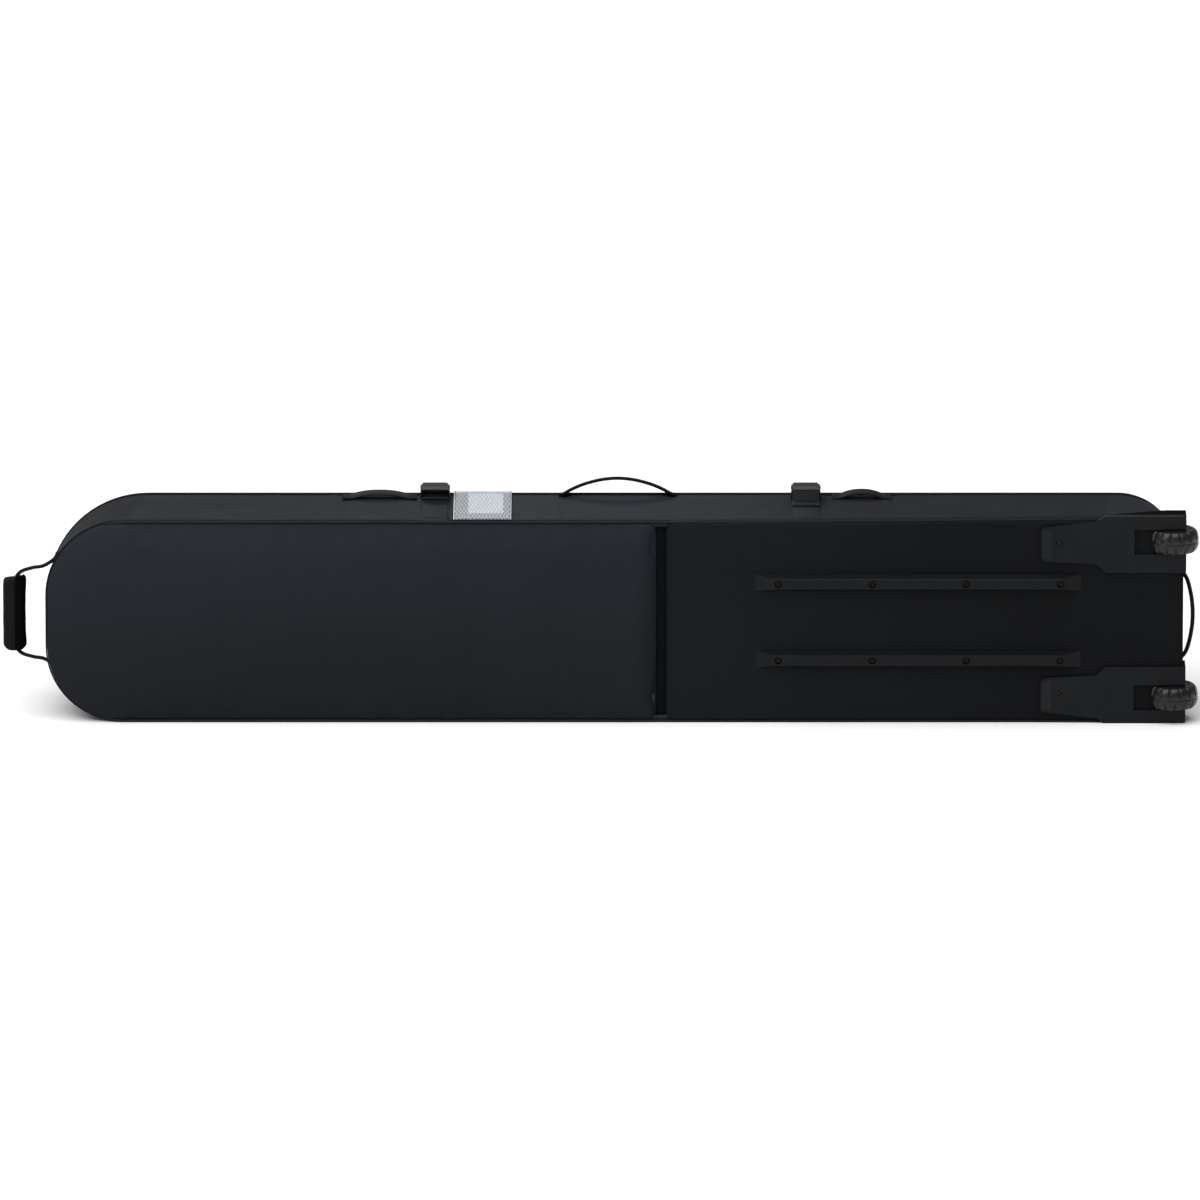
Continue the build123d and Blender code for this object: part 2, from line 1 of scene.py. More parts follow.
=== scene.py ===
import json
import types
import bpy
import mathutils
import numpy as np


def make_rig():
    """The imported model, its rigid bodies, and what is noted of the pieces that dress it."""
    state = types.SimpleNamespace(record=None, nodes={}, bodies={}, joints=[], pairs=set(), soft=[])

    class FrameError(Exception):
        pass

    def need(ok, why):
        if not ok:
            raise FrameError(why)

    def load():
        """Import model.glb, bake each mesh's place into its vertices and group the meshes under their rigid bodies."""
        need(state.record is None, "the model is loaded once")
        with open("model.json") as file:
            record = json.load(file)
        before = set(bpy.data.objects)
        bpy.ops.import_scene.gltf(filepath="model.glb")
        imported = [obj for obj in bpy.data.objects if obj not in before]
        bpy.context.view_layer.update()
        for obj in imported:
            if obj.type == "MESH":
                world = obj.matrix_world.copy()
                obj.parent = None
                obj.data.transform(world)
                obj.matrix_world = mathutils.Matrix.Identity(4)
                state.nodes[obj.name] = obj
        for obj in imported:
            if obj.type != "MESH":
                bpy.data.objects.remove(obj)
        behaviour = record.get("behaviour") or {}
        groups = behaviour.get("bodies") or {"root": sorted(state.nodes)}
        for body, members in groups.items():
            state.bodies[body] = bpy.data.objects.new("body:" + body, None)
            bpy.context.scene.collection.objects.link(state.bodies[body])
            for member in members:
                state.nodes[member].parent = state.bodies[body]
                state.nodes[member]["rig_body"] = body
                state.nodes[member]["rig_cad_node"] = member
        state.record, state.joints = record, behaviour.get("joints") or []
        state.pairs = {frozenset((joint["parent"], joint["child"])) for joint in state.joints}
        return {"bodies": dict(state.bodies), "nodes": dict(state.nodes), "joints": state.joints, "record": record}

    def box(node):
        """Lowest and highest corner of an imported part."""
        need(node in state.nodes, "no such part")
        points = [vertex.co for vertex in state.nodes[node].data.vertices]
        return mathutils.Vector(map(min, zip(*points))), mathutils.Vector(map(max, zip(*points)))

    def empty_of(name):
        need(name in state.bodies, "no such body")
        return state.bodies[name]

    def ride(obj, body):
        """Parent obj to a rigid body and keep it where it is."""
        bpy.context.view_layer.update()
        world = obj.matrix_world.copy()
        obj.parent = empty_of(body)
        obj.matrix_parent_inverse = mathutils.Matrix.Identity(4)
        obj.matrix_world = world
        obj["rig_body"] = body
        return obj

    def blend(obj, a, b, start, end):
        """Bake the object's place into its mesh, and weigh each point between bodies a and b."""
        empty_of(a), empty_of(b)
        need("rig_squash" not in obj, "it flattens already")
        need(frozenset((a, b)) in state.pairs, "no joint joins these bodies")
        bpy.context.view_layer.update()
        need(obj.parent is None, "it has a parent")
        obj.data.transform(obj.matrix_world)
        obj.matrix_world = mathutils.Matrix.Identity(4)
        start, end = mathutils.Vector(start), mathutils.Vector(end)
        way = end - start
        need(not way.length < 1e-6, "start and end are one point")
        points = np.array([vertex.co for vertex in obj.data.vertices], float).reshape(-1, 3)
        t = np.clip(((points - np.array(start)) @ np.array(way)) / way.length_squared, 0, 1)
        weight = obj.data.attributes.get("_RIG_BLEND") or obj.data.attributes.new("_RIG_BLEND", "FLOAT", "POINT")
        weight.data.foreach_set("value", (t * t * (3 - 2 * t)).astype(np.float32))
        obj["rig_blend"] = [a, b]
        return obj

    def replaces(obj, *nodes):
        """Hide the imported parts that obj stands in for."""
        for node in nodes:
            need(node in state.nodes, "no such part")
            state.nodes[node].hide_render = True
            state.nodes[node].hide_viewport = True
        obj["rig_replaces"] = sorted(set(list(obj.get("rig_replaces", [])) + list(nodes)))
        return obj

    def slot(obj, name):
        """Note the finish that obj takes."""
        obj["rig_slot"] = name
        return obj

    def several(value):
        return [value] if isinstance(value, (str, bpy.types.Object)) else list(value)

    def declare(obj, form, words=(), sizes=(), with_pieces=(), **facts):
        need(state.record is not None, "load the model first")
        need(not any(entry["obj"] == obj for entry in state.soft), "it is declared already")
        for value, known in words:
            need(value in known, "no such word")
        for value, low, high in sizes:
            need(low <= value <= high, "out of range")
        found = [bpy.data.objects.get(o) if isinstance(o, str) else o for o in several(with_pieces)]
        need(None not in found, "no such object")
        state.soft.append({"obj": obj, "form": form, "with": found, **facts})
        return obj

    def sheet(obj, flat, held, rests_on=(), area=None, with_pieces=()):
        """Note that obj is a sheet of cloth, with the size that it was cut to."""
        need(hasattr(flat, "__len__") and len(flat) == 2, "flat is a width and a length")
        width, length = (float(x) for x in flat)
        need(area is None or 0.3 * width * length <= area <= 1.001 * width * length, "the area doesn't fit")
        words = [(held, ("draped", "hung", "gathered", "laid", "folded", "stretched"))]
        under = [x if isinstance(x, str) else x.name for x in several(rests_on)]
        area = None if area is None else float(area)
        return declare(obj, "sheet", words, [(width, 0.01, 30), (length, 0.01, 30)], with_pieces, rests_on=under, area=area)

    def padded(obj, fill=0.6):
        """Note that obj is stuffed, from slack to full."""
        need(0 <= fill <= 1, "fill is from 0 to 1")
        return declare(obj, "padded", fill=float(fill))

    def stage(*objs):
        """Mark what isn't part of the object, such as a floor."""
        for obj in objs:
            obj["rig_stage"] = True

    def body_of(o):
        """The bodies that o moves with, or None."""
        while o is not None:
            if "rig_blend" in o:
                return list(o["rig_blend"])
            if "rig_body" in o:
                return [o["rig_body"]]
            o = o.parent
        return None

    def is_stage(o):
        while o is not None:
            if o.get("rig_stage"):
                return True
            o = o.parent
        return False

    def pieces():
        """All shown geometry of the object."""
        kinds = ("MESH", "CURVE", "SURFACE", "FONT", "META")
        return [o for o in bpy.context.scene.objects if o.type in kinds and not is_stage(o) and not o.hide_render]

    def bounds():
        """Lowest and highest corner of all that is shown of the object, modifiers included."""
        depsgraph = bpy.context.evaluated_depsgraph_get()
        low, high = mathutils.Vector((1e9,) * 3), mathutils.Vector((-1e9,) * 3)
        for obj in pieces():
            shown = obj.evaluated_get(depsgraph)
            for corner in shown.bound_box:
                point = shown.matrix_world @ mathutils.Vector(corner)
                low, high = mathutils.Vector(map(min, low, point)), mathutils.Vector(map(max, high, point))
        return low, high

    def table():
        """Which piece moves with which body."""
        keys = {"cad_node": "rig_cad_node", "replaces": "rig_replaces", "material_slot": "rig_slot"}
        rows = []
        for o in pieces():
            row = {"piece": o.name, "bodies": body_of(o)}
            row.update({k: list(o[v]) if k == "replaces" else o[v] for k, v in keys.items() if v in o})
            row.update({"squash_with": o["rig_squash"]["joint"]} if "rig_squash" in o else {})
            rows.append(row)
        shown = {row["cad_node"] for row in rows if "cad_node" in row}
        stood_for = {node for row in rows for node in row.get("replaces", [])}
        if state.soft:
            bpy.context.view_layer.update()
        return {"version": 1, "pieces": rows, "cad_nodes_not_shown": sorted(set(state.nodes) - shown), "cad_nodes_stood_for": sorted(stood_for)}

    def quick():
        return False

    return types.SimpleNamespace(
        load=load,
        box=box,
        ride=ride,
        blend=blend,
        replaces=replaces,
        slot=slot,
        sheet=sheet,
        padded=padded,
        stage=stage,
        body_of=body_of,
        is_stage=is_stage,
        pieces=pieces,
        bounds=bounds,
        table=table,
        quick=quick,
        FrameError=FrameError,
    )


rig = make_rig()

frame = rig.load()

import json
import math

import bmesh
import bpy
from mathutils import Matrix, Vector, noise

CAD_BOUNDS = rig.bounds()
MM = 0.001


def low(node):
    return Vector(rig.box(node)[0])


def high(node):
    return Vector(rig.box(node)[1])


# Sizes read from the frame, in metres
NOSE_X = low("nose_gusset").x
TAIL_X = high("tail_gusset").x
BACK_Y = low("base_panel").y
FRONT_Y = high("front_border").y
WIDTH = high("upper_gusset").z
VALLEY_NEAR, VALLEY_FAR = low("valley_strip").x, high("valley_strip").x
VALLEY_Y = low("valley_strip").y
LINING_Y = high("nose_foam").y
HINGE_X = high("lid_panel").x
LID_INSET = low("lid_panel").z
TAPE_INSET = low("zipper_tape_body").z
TAPE_Y = high("zipper_tape_body").y
PARK_X = high("zipper_tape_body").x
CORNER_R, FRONT_R = 112 * MM, 146 * MM
TAIL_BACK_R, TAIL_FRONT_R = 14 * MM, 88 * MM
CHAIN_INSET = (TAPE_INSET + LID_INSET) / 2
MID_Z = WIDTH / 2
BASE_TAIL_X = high("base_panel").x


# Materials


class Shader:
    """A principled material with small helpers for its node tree."""

    def __init__(self, name, rough=0.6, specular=0.5, metallic=0.0):
        self.mat = bpy.data.materials.new(name)
        self.mat.use_nodes = True
        self.tree = self.mat.node_tree
        self.bsdf = self.tree.nodes["Principled BSDF"]
        for key, value in (
            ("Roughness", rough),
            ("Specular IOR Level", specular),
            ("Metallic", metallic),
        ):
            self.bsdf.inputs[key].default_value = value

    def node(self, kind, **values):
        made = self.tree.nodes.new(kind)
        for key, value in values.items():
            if hasattr(made, key):
                setattr(made, key, value)
            else:
                made.inputs[key.replace("_", " ")].default_value = value
        return made

    def link(self, a, b):
        self.tree.links.new(a, b)

    def coords(self, kind="Object"):
        return self.node("ShaderNodeTexCoord").outputs[kind]

    def noise(self, vector, scale, detail=3.0, rough=0.55):
        made = self.node("ShaderNodeTexNoise")
        made.inputs["Scale"].default_value = scale
        made.inputs["Detail"].default_value = detail
        made.inputs["Roughness"].default_value = rough
        self.link(vector, made.inputs["Vector"])
        return made.outputs["Fac"]

    def wave(self, vector, pitch, direction="X"):
        """Bands that repeat at this pitch in metres."""
        made = self.node("ShaderNodeTexWave", wave_type="BANDS", bands_direction=direction)
        made.inputs["Scale"].default_value = 2 * math.pi / (20 * pitch)
        self.link(vector, made.inputs["Vector"])
        return made.outputs["Fac"]

    def math(self, operation, a, b):
        made = self.node("ShaderNodeMath", operation=operation)
        for socket, value in zip(made.inputs, (a, b)):
            if isinstance(value, (int, float)):
                socket.default_value = value
            else:
                self.link(value, socket)
        return made.outputs[0]

    def ramp(self, fac, stops):
        made = self.node("ShaderNodeValToRGB")
        elements = made.color_ramp.elements
        elements[0].position, elements[0].color = stops[0][0], (*stops[0][1], 1)
        elements[1].position, elements[1].color = stops[-1][0], (*stops[-1][1], 1)
        for position, colour in stops[1:-1]:
            elements.new(position).color = (*colour, 1)
        self.link(fac, made.inputs["Fac"])
        return made.outputs["Color"]

    def eased(self, vector, axis, start, end, tone):
        """A factor that eases from 1 at start to tone at end along an axis."""
        split = self.node("ShaderNodeSeparateXYZ")
        self.link(vector, split.inputs[0])
        eased = self.node("ShaderNodeMapRange", interpolation_type="SMOOTHSTEP")
        for key, value in (("From Min", start), ("From Max", end), ("To Min", 1.0), ("To Max", tone)):
            eased.inputs[key].default_value = value
        self.link(split.outputs[axis], eased.inputs["Value"])
        return eased.outputs["Result"]

    def scaled(self, colour, factor):
        made = self.node("ShaderNodeVectorMath", operation="SCALE")
        self.link(colour, made.inputs[0])
        self.link(factor, made.inputs["Scale"])
        return made.outputs["Vector"]

    def colour(self, value):
        self.link(value, self.bsdf.inputs["Base Color"])

    def rough_between(self, fac, low_value, high_value):
        made = self.node("ShaderNodeMapRange")
        made.inputs["To Min"].default_value = low_value
        made.inputs["To Max"].default_value = high_value
        self.link(fac, made.inputs["Value"])
        self.link(made.outputs["Result"], self.bsdf.inputs["Roughness"])

    def bump(self, *layers):
        """Layers are (height, distance in metres), the finest last."""
        normal = None
        for height, distance in layers:
            made = self.node("ShaderNodeBump")
            made.inputs["Strength"].default_value = 1.0
            made.inputs["Distance"].default_value = distance
            self.link(height, made.inputs["Height"])
            if normal:
                self.link(normal, made.inputs["Normal"])
            normal = made.outputs["Normal"]
        self.link(normal, self.bsdf.inputs["Normal"])


def weave(shader, vector, thread):
    """Height of a plain weave with this thread spacing in metres."""
    across = shader.wave(vector, thread, "X")
    along = shader.wave(vector, thread, "Y")
    return shader.math("MULTIPLY", across, along)


def woven(name, dark, light, thread=0.9 * MM, rough=(0.62, 0.8), specular=0.12, fades=()):
    """Plain-woven cloth. Each fade is a painted shade (axis, start, end, tone), and tone scales the colour at its end.
    """
    shader = Shader(name, specular=specular)
    uv = shader.coords("UV")
    place = shader.coords("Object")
    threads = weave(shader, uv, thread)
    slub = shader.noise(place, 22.0, 4.0)
    patch = shader.noise(place, 3.0, 2.0)
    mix = shader.math("ADD", shader.math("MULTIPLY", threads, 0.35), shader.math("MULTIPLY", patch, 0.65))
    colour = shader.ramp(mix, [(0.25, dark), (0.75, light)])
    for fade in fades:
        colour = shader.scaled(colour, shader.eased(place, *fade))
    shader.colour(colour)
    shader.rough_between(slub, *rough)
    shader.bump((slub, 0.25 * MM), (threads, 0.12 * MM))
    return shader.mat


def ribbed(name, dark, light, rib=1.6 * MM, rough=(0.5, 0.7), specular=0.1):
    """Webbing: ribs along its length with a finer herringbone across them."""
    shader = Shader(name, specular=specular)
    uv = shader.coords("UV")
    ribs = shader.wave(uv, rib, "Y")
    cross = shader.wave(uv, 0.7 * rib, "DIAGONAL")
    both = shader.math("ADD", shader.math("MULTIPLY", ribs, 0.65), shader.math("MULTIPLY", cross, 0.35))
    shader.colour(shader.ramp(both, [(0.15, dark), (0.85, light)]))
    shader.rough_between(shader.noise(shader.coords(), 60.0), *rough)
    shader.bump((both, 0.3 * MM))
    return shader.mat


def moulded(name, dark, light, grain=900.0, rough=(0.38, 0.55), specular=0.2, fades=()):
    """Moulded plastic or rubber with a fine spark-eroded grain and faint handling marks. Each fade is a painted shade
    (axis, start, end, tone) that darkens the colour and dims the specular towards its end.
    """
    shader = Shader(name, specular=specular)
    place = shader.coords()
    depth = 0.05 * MM
    fine = shader.noise(place, grain, 2.0)
    broad = shader.noise(place, 14.0, 5.0, 0.6)
    scuff = shader.noise(place, 120.0, 6.0, 0.75)
    colour = shader.ramp(broad, [(0.3, dark), (0.7, light)])
    for fade in fades:
        factor = shader.eased(place, *fade)
        colour = shader.scaled(colour, factor)
        shader.link(shader.math("MULTIPLY", factor, specular), shader.bsdf.inputs["Specular IOR Level"])
    shader.colour(colour)
    shader.rough_between(scuff, *rough)
    shader.bump((scuff, depth * 0.6), (fine, depth))
    return shader.mat


def metal(name, colour, rough=(0.22, 0.42)):
    shader = Shader(name, metallic=1.0)
    place = shader.coords()
    grain = shader.noise(place, 700.0, 2.0)
    broad = shader.noise(place, 40.0, 3.0)
    shader.colour(shader.ramp(broad, [(0.3, tuple(c * 0.82 for c in colour)), (0.7, colour)]))
    shader.rough_between(grain, *rough)
    shader.bump((grain, 0.02 * MM))
    return shader.mat


def film_material():
    """Milky film over white reinforcing threads in a long diamond net."""
    shader = Shader("window_film", rough=0.3, specular=0.3)
    split = shader.node("ShaderNodeSeparateXYZ")
    shader.link(shader.coords(), split.inputs[0])
    across = shader.math("MULTIPLY", split.outputs["X"], math.pi / (5 * MM))
    along = shader.math("MULTIPLY", split.outputs["Y"], math.pi / (30 * MM))
    rising = shader.math("ABSOLUTE", shader.math("SINE", shader.math("ADD", across, along), 0), 0)
    falling = shader.math("ABSOLUTE", shader.math("SINE", shader.math("SUBTRACT", across, along), 0), 0)
    gap = shader.math("MINIMUM", rising, falling)
    patch = shader.noise(shader.coords(), 30.0)
    tone = shader.math("ADD", gap, shader.math("MULTIPLY", patch, 0.2))
    shader.colour(shader.ramp(tone, [(0.2, (0.46, 0.50, 0.55)), (0.65, (0.54, 0.57, 0.60))]))
    clear = shader.node("ShaderNodeMapRange")
    clear.inputs["From Min"].default_value = 0.12
    clear.inputs["From Max"].default_value = 0.45
    clear.inputs["To Min"].default_value = 0.8
    clear.inputs["To Max"].default_value = 0.24
    shader.link(gap, clear.inputs["Value"])
    shader.link(clear.outputs["Result"], shader.bsdf.inputs["Alpha"])
    shader.bump((gap, -0.15 * MM))
    return shader.mat


def foam_material():
    shader = Shader("foam", rough=0.9, specular=0.2)
    place = shader.coords()
    cells = shader.node("ShaderNodeTexVoronoi")
    cells.inputs["Scale"].default_value = 500.0
    shader.link(place, cells.inputs["Vector"])
    shader.colour(
        shader.ramp(cells.outputs["Distance"], [(0.1, (0.03, 0.03, 0.032)), (0.6, (0.07, 0.07, 0.075))])
    )
    shader.bump((cells.outputs["Distance"], 0.2 * MM))
    return shader.mat


# Painted shade in the wheel wells: the housing plastic darkens, and its specular dims, from 3 mm to 9 mm behind the
# back face.
WELL_DARK = ("Y", BACK_Y + 3 * MM, BACK_Y + 9 * MM, 0.05)
M = {
    # Painted shade: the shell cloth darkens towards its bottom edge and towards the tail.
    "shell_fabric": woven(
        "shell_fabric",
        (0.0085, 0.0106, 0.0142),
        (0.0145, 0.0174, 0.0226),
        fades=(("Z", 0.29, 0.02, 0.62), ("X", 0.45, 0.8, 0.72)),
    ),
    # Painted light and shade: a lighter copy of the shell cloth for the long sides that face up, darkened towards both
    # ends.
    "side_fabric": woven(
        "side_fabric",
        (0.0102, 0.0125, 0.0165),
        (0.0174, 0.0206, 0.0266),
        fades=(("X", 0.02, 0.42, 0.42), ("X", -0.05, -0.55, 0.6)),
    ),
    # Painted shade: a darker copy of the shell cloth for the nose end, darker still towards its tip.
    "nose_fabric": woven(
        "nose_fabric", (0.0061, 0.0075, 0.0099), (0.0104, 0.0124, 0.0160), fades=(("X", -0.6, -0.72, 0.52),)
    ),
    # The coated base cloth in its own dark colour, with painted shade that darkens it towards the tail.
    "base_fabric": woven(
        "base_fabric",
        (0.0042, 0.0048, 0.0058),
        (0.0068, 0.0077, 0.0090),
        0.7 * MM,
        (0.5, 0.66),
        specular=0.08,
        fades=(("X", 0.1, 0.65, 0.6),),
    ),
    # Painted shade: a near-black copy of the shell cloth for the fold of the valley.
    "valley_fabric": woven(
        "valley_fabric", (0.0022, 0.0026, 0.0032), (0.0042, 0.0048, 0.0058), specular=0.04
    ),
    "lining": woven("lining", (0.05, 0.054, 0.06), (0.075, 0.08, 0.088), 0.6 * MM),
    "foam": foam_material(),
    "board": moulded("board", (0.012, 0.012, 0.013), (0.02, 0.02, 0.021), 400.0),
    "rail_plastic": moulded(
        "rail_plastic", (0.0034, 0.0040, 0.0046), (0.0056, 0.0062, 0.0070), 700.0, (0.34, 0.5), 0.12
    ),
    # The housing plastic carries the painted shade of its wheel wells.
    "housing_plastic": moulded(
        "housing_plastic",
        (0.0036, 0.0042, 0.0050),
        (0.0060, 0.0067, 0.0078),
        800.0,
        (0.34, 0.5),
        0.13,
        (WELL_DARK,),
    ),
    "wheel_rubber": moulded(
        "wheel_rubber", (0.0035, 0.0036, 0.0042), (0.0085, 0.0085, 0.0100), 500.0, (0.2, 0.42), 0.34
    ),
    "hub_plastic": moulded("hub_plastic", (0.008, 0.008, 0.009), (0.016, 0.016, 0.018), 600.0, (0.25, 0.4)),
    "steel": metal("steel", (0.56, 0.56, 0.57)),
    "black_screw": moulded(
        "black_screw", (0.0008, 0.0008, 0.0009), (0.0020, 0.0020, 0.0022), 700.0, (0.3, 0.45), 0.2
    ),
    # Painted highlight: a lighter copy of the housing plastic for the sloped rim of each tongue.
    "tongue_bevel": moulded(
        "tongue_bevel", (0.0075, 0.0082, 0.0095), (0.0105, 0.0114, 0.0130), 800.0, (0.34, 0.5), 0.13
    ),
    "webbing": ribbed("webbing", (0.0030, 0.0040, 0.0062), (0.0100, 0.0122, 0.0168)),
    "handle_webbing": ribbed("handle_webbing", (0.0022, 0.0024, 0.0028), (0.0075, 0.0082, 0.0095)),
    "buckle_plastic": moulded(
        "buckle_plastic", (0.0010, 0.0011, 0.0018), (0.0022, 0.0023, 0.0034), 900.0, (0.16, 0.28),
        0.2
    ),
    "grip_pad": woven(
        "grip_pad", (0.0028, 0.0035, 0.0038), (0.0062, 0.0075, 0.0080), 1.1 * MM, specular=0.06
    ),
    "piping": ribbed("piping", (0.0080, 0.0092, 0.0118), (0.0170, 0.0190, 0.0232), 1.0 * MM),
    "thread": ribbed("thread", (0.006, 0.007, 0.009), (0.016, 0.018, 0.021), 0.4 * MM),
    "window_film": film_material(),
    "film_border": moulded("film_border", (0.46, 0.49, 0.52), (0.56, 0.59, 0.62), 300.0, (0.3, 0.45)),
    # Painted shade: a near-black copy of the grip cloth for the half of the grip that turns towards the bag.
    "grip_dark": woven(
        "grip_dark", (0.0012, 0.0012, 0.0013), (0.0022, 0.0022, 0.0024), 0.8 * MM, (0.85, 0.95),
        0.03
    ),
    "zipper_teeth": moulded(
        "zipper_teeth", (0.005, 0.005, 0.006), (0.010, 0.010, 0.011), 900.0, (0.2, 0.35)
    ),
    "card": woven("card", (0.86, 0.88, 0.90), (0.92, 0.93, 0.94), 0.3 * MM, (0.5, 0.6)),
    "zipper": ribbed("zipper", (0.005, 0.005, 0.006), (0.013, 0.013, 0.015), 0.8 * MM),
    "slider_metal": metal("slider_metal", (0.06, 0.06, 0.065), (0.3, 0.45)),
    "pull_rubber": moulded("pull_rubber", (0.008, 0.008, 0.009), (0.016, 0.016, 0.018), 500.0),
}


# Mesh building


def add(name, verts, faces, material, body="bag", slot=None, uvs=None, second=None):
    """A mesh object that rides on a body and takes its finish from a material slot of the record."""
    mesh = bpy.data.meshes.new(name)
    mesh.from_pydata([tuple(v) for v in verts], [], faces)
    mesh.materials.append(M[material])
    if second:
        mesh.materials.append(M[second])
    if uvs:
        layer = mesh.uv_layers.new(name="UVMap")
        for loop in mesh.loops:
            layer.data[loop.index].uv = uvs[loop.vertex_index]
    mesh.update()
    mesh.polygons.foreach_set("use_smooth", [True] * len(mesh.polygons))
    piece = bpy.data.objects.new(name, mesh)
    bpy.context.scene.collection.objects.link(piece)
    if body:
        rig.ride(piece, body)
    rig.slot(piece, slot or material)
    return piece


def recalc(piece):
    bm = bmesh.new()
    bm.from_mesh(piece.data)
    bmesh.ops.recalc_face_normals(bm, faces=bm.faces)
    bm.to_mesh(piece.data)
    bm.free()


def grid(rows, closed_rows=False, closed_columns=False):
    """Vertices, quads and UVs in metres of a grid given as rows of points."""
    verts = [p for row in rows for p in row]
    across, down = len(rows[0]), len(rows)
    faces = []
    for i in range(down if closed_rows else down - 1):
        for j in range(across if closed_columns else across - 1):
            a, b = i * across + j, i * across + (j + 1) % across
            c, d = ((i + 1) % down) * across + (j + 1) % across, ((i + 1) % down) * across + j
            faces.append((a, b, c, d))
    middle = across // 2
    run = [0.0]
    for i in range(1, down):
        run.append(run[-1] + (Vector(rows[i][middle]) - Vector(rows[i - 1][middle])).length)
    uvs = []
    for i, row in enumerate(rows):
        step = 0.0
        for j, p in enumerate(row):
            if j:
                step += (Vector(p) - Vector(row[j - 1])).length
            uvs.append((run[i], step))
    return verts, faces, uvs


def smooth_step(x):
    x = min(1.0, max(0.0, x))
    return x * x * (3 - 2 * x)


def wrinkle(p, scale, amount):
    return amount * noise.noise(Vector((p[0] * scale, p[1] * scale, p[2] * scale)))


def tangents_along(points):
    """(point, tangent) along a polyline."""
    out = []
    for i, p in enumerate(points):
        a = points[max(0, i - 1)]
        b = points[min(len(points) - 1, i + 1)]
        out.append((Vector(p), (Vector(b) - Vector(a)).normalized()))
    return out


def rounded_section(width, thick, steps=3):
    """Closed section of a flat strip with rounded edges, as (across, up) pairs."""
    r = thick * 0.5
    out = []
    for sign in (1, -1):
        for k in range(steps + 1):
            angle = math.pi / 2 - math.pi * k / steps
            out.append((sign * (width / 2 - r + r * math.cos(angle)), sign * r * math.sin(angle)))
    return out


def strip(name, points, width, thick, across, material="webbing", body="bag", slot=None):
    """A flat strip that follows the points, with its width along the across direction."""
    rows = []
    for i, p in enumerate(points):
        a = Vector(points[max(0, i - 1)])
        b = Vector(points[min(len(points) - 1, i + 1)])
        tangent = (b - a).normalized()
        side = (across - tangent * across.dot(tangent)).normalized()
        up = side.cross(tangent)
        rows.append([Vector(p) + side * s + up * t for s, t in rounded_section(width, thick)])
    verts, faces, uvs = grid(rows, closed_columns=True)
    across_n = len(rows[0])
    faces.append(tuple(reversed(range(across_n))))
    faces.append(tuple(range(len(verts) - across_n, len(verts))))
    piece = add(name, verts, faces, material, body, slot, uvs)
    recalc(piece)
    return piece


def tube(name, points, radius, material, sides=10, slot=None, closed=False):
    """A round cord on the bag along the points."""
    up = Vector((0, 1, 0))
    rows = []
    count = len(points)
    for i, p in enumerate(points):
        a = Vector(points[(i - 1) % count if closed else max(0, i - 1)])
        b = Vector(points[(i + 1) % count if closed else min(count - 1, i + 1)])
        tangent = (b - a).normalized()
        side = tangent.cross(up).normalized()
        third = side.cross(tangent)
        angles = [2 * math.pi * k / sides for k in range(sides)]
        rows.append(
            [Vector(p) + side * (radius * math.cos(q)) + third * (radius * math.sin(q)) for q in angles]
        )
    verts, faces, uvs = grid(rows, closed_rows=closed, closed_columns=True)
    if not closed:
        faces.append(tuple(reversed(range(sides))))
        faces.append(tuple(range(len(verts) - sides, len(verts))))
    piece = add(name, verts, faces, material, "bag", slot, uvs)
    recalc(piece)
    return piece


def smooth_path(points, per=8):
    """Points along a Catmull-Rom curve through the given ones."""
    pts = [Vector(p) for p in points]
    pts = [pts[0] * 2 - pts[1]] + pts + [pts[-1] * 2 - pts[-2]]
    out = []
    for i in range(1, len(pts) - 2):
        p0, p1, p2, p3 = pts[i - 1 : i + 3]
        for k in range(per):
            t = k / per
            out.append(
                0.5 * (
                    2 * p1 + (p2 - p0) * t + (2 * p0 - 5 * p1 + 4 * p2 - p3) * t**2
                    + (3 * p1 - p0 - 3 * p2 + p3) * t**3
                )
            )
    out.append(pts[-2])
    return out


def resample(points, pitch):
    """Evenly spaced points along a polyline, and the tangent at each."""
    out, left = [], 0.0
    for a, b in zip(points, points[1:]):
        a, b = Vector(a), Vector(b)
        length = (b - a).length
        if length < 1e-9:
            continue
        step = left
        while step < length:
            out.append((a + (b - a) * (step / length), (b - a) / length))
            step += pitch
        left = step - length
    return out


def stitches(name, lines, up, body="bag", pitch=3.6 * MM, length=2.5 * MM, radius=0.38 * MM):
    """Small flattened thread dashes along polylines. up is a vector or a function of a point."""
    verts, faces = [], []
    for line in lines:
        for p, tangent in resample(line, pitch):
            normal = up(p) if callable(up) else up
            side = tangent.cross(normal).normalized()
            top = side.cross(tangent)
            base = len(verts)
            for along, size in ((-0.5, 0.35), (-0.3, 1.0), (0.3, 1.0), (0.5, 0.35)):
                centre = p + tangent * (along * length)
                for s, t in ((1, 0), (0, 1), (-1, 0), (0, -1)):
                    verts.append(centre + side * (s * radius * size) + top * (t * radius * size))
            for ring in range(3):
                for k in range(4):
                    a = base + ring * 4 + k
                    b = base + ring * 4 + (k + 1) % 4
                    faces.append((a, b, b + 4, a + 4))
            faces.append((base + 3, base + 2, base + 1, base))
            faces.append((base + 12, base + 13, base + 14, base + 15))
    return add(name, verts, faces, "thread", body, "webbing")


# Outline of the bag in X and Z, walked from the lower tail, past the nose, to the upper tail and back

SPLIT_X = high("upper_gusset").x
LONG_STEPS, ARC_STEPS, END_STEPS, TAIL_STEPS = 190, 18, 12, 90


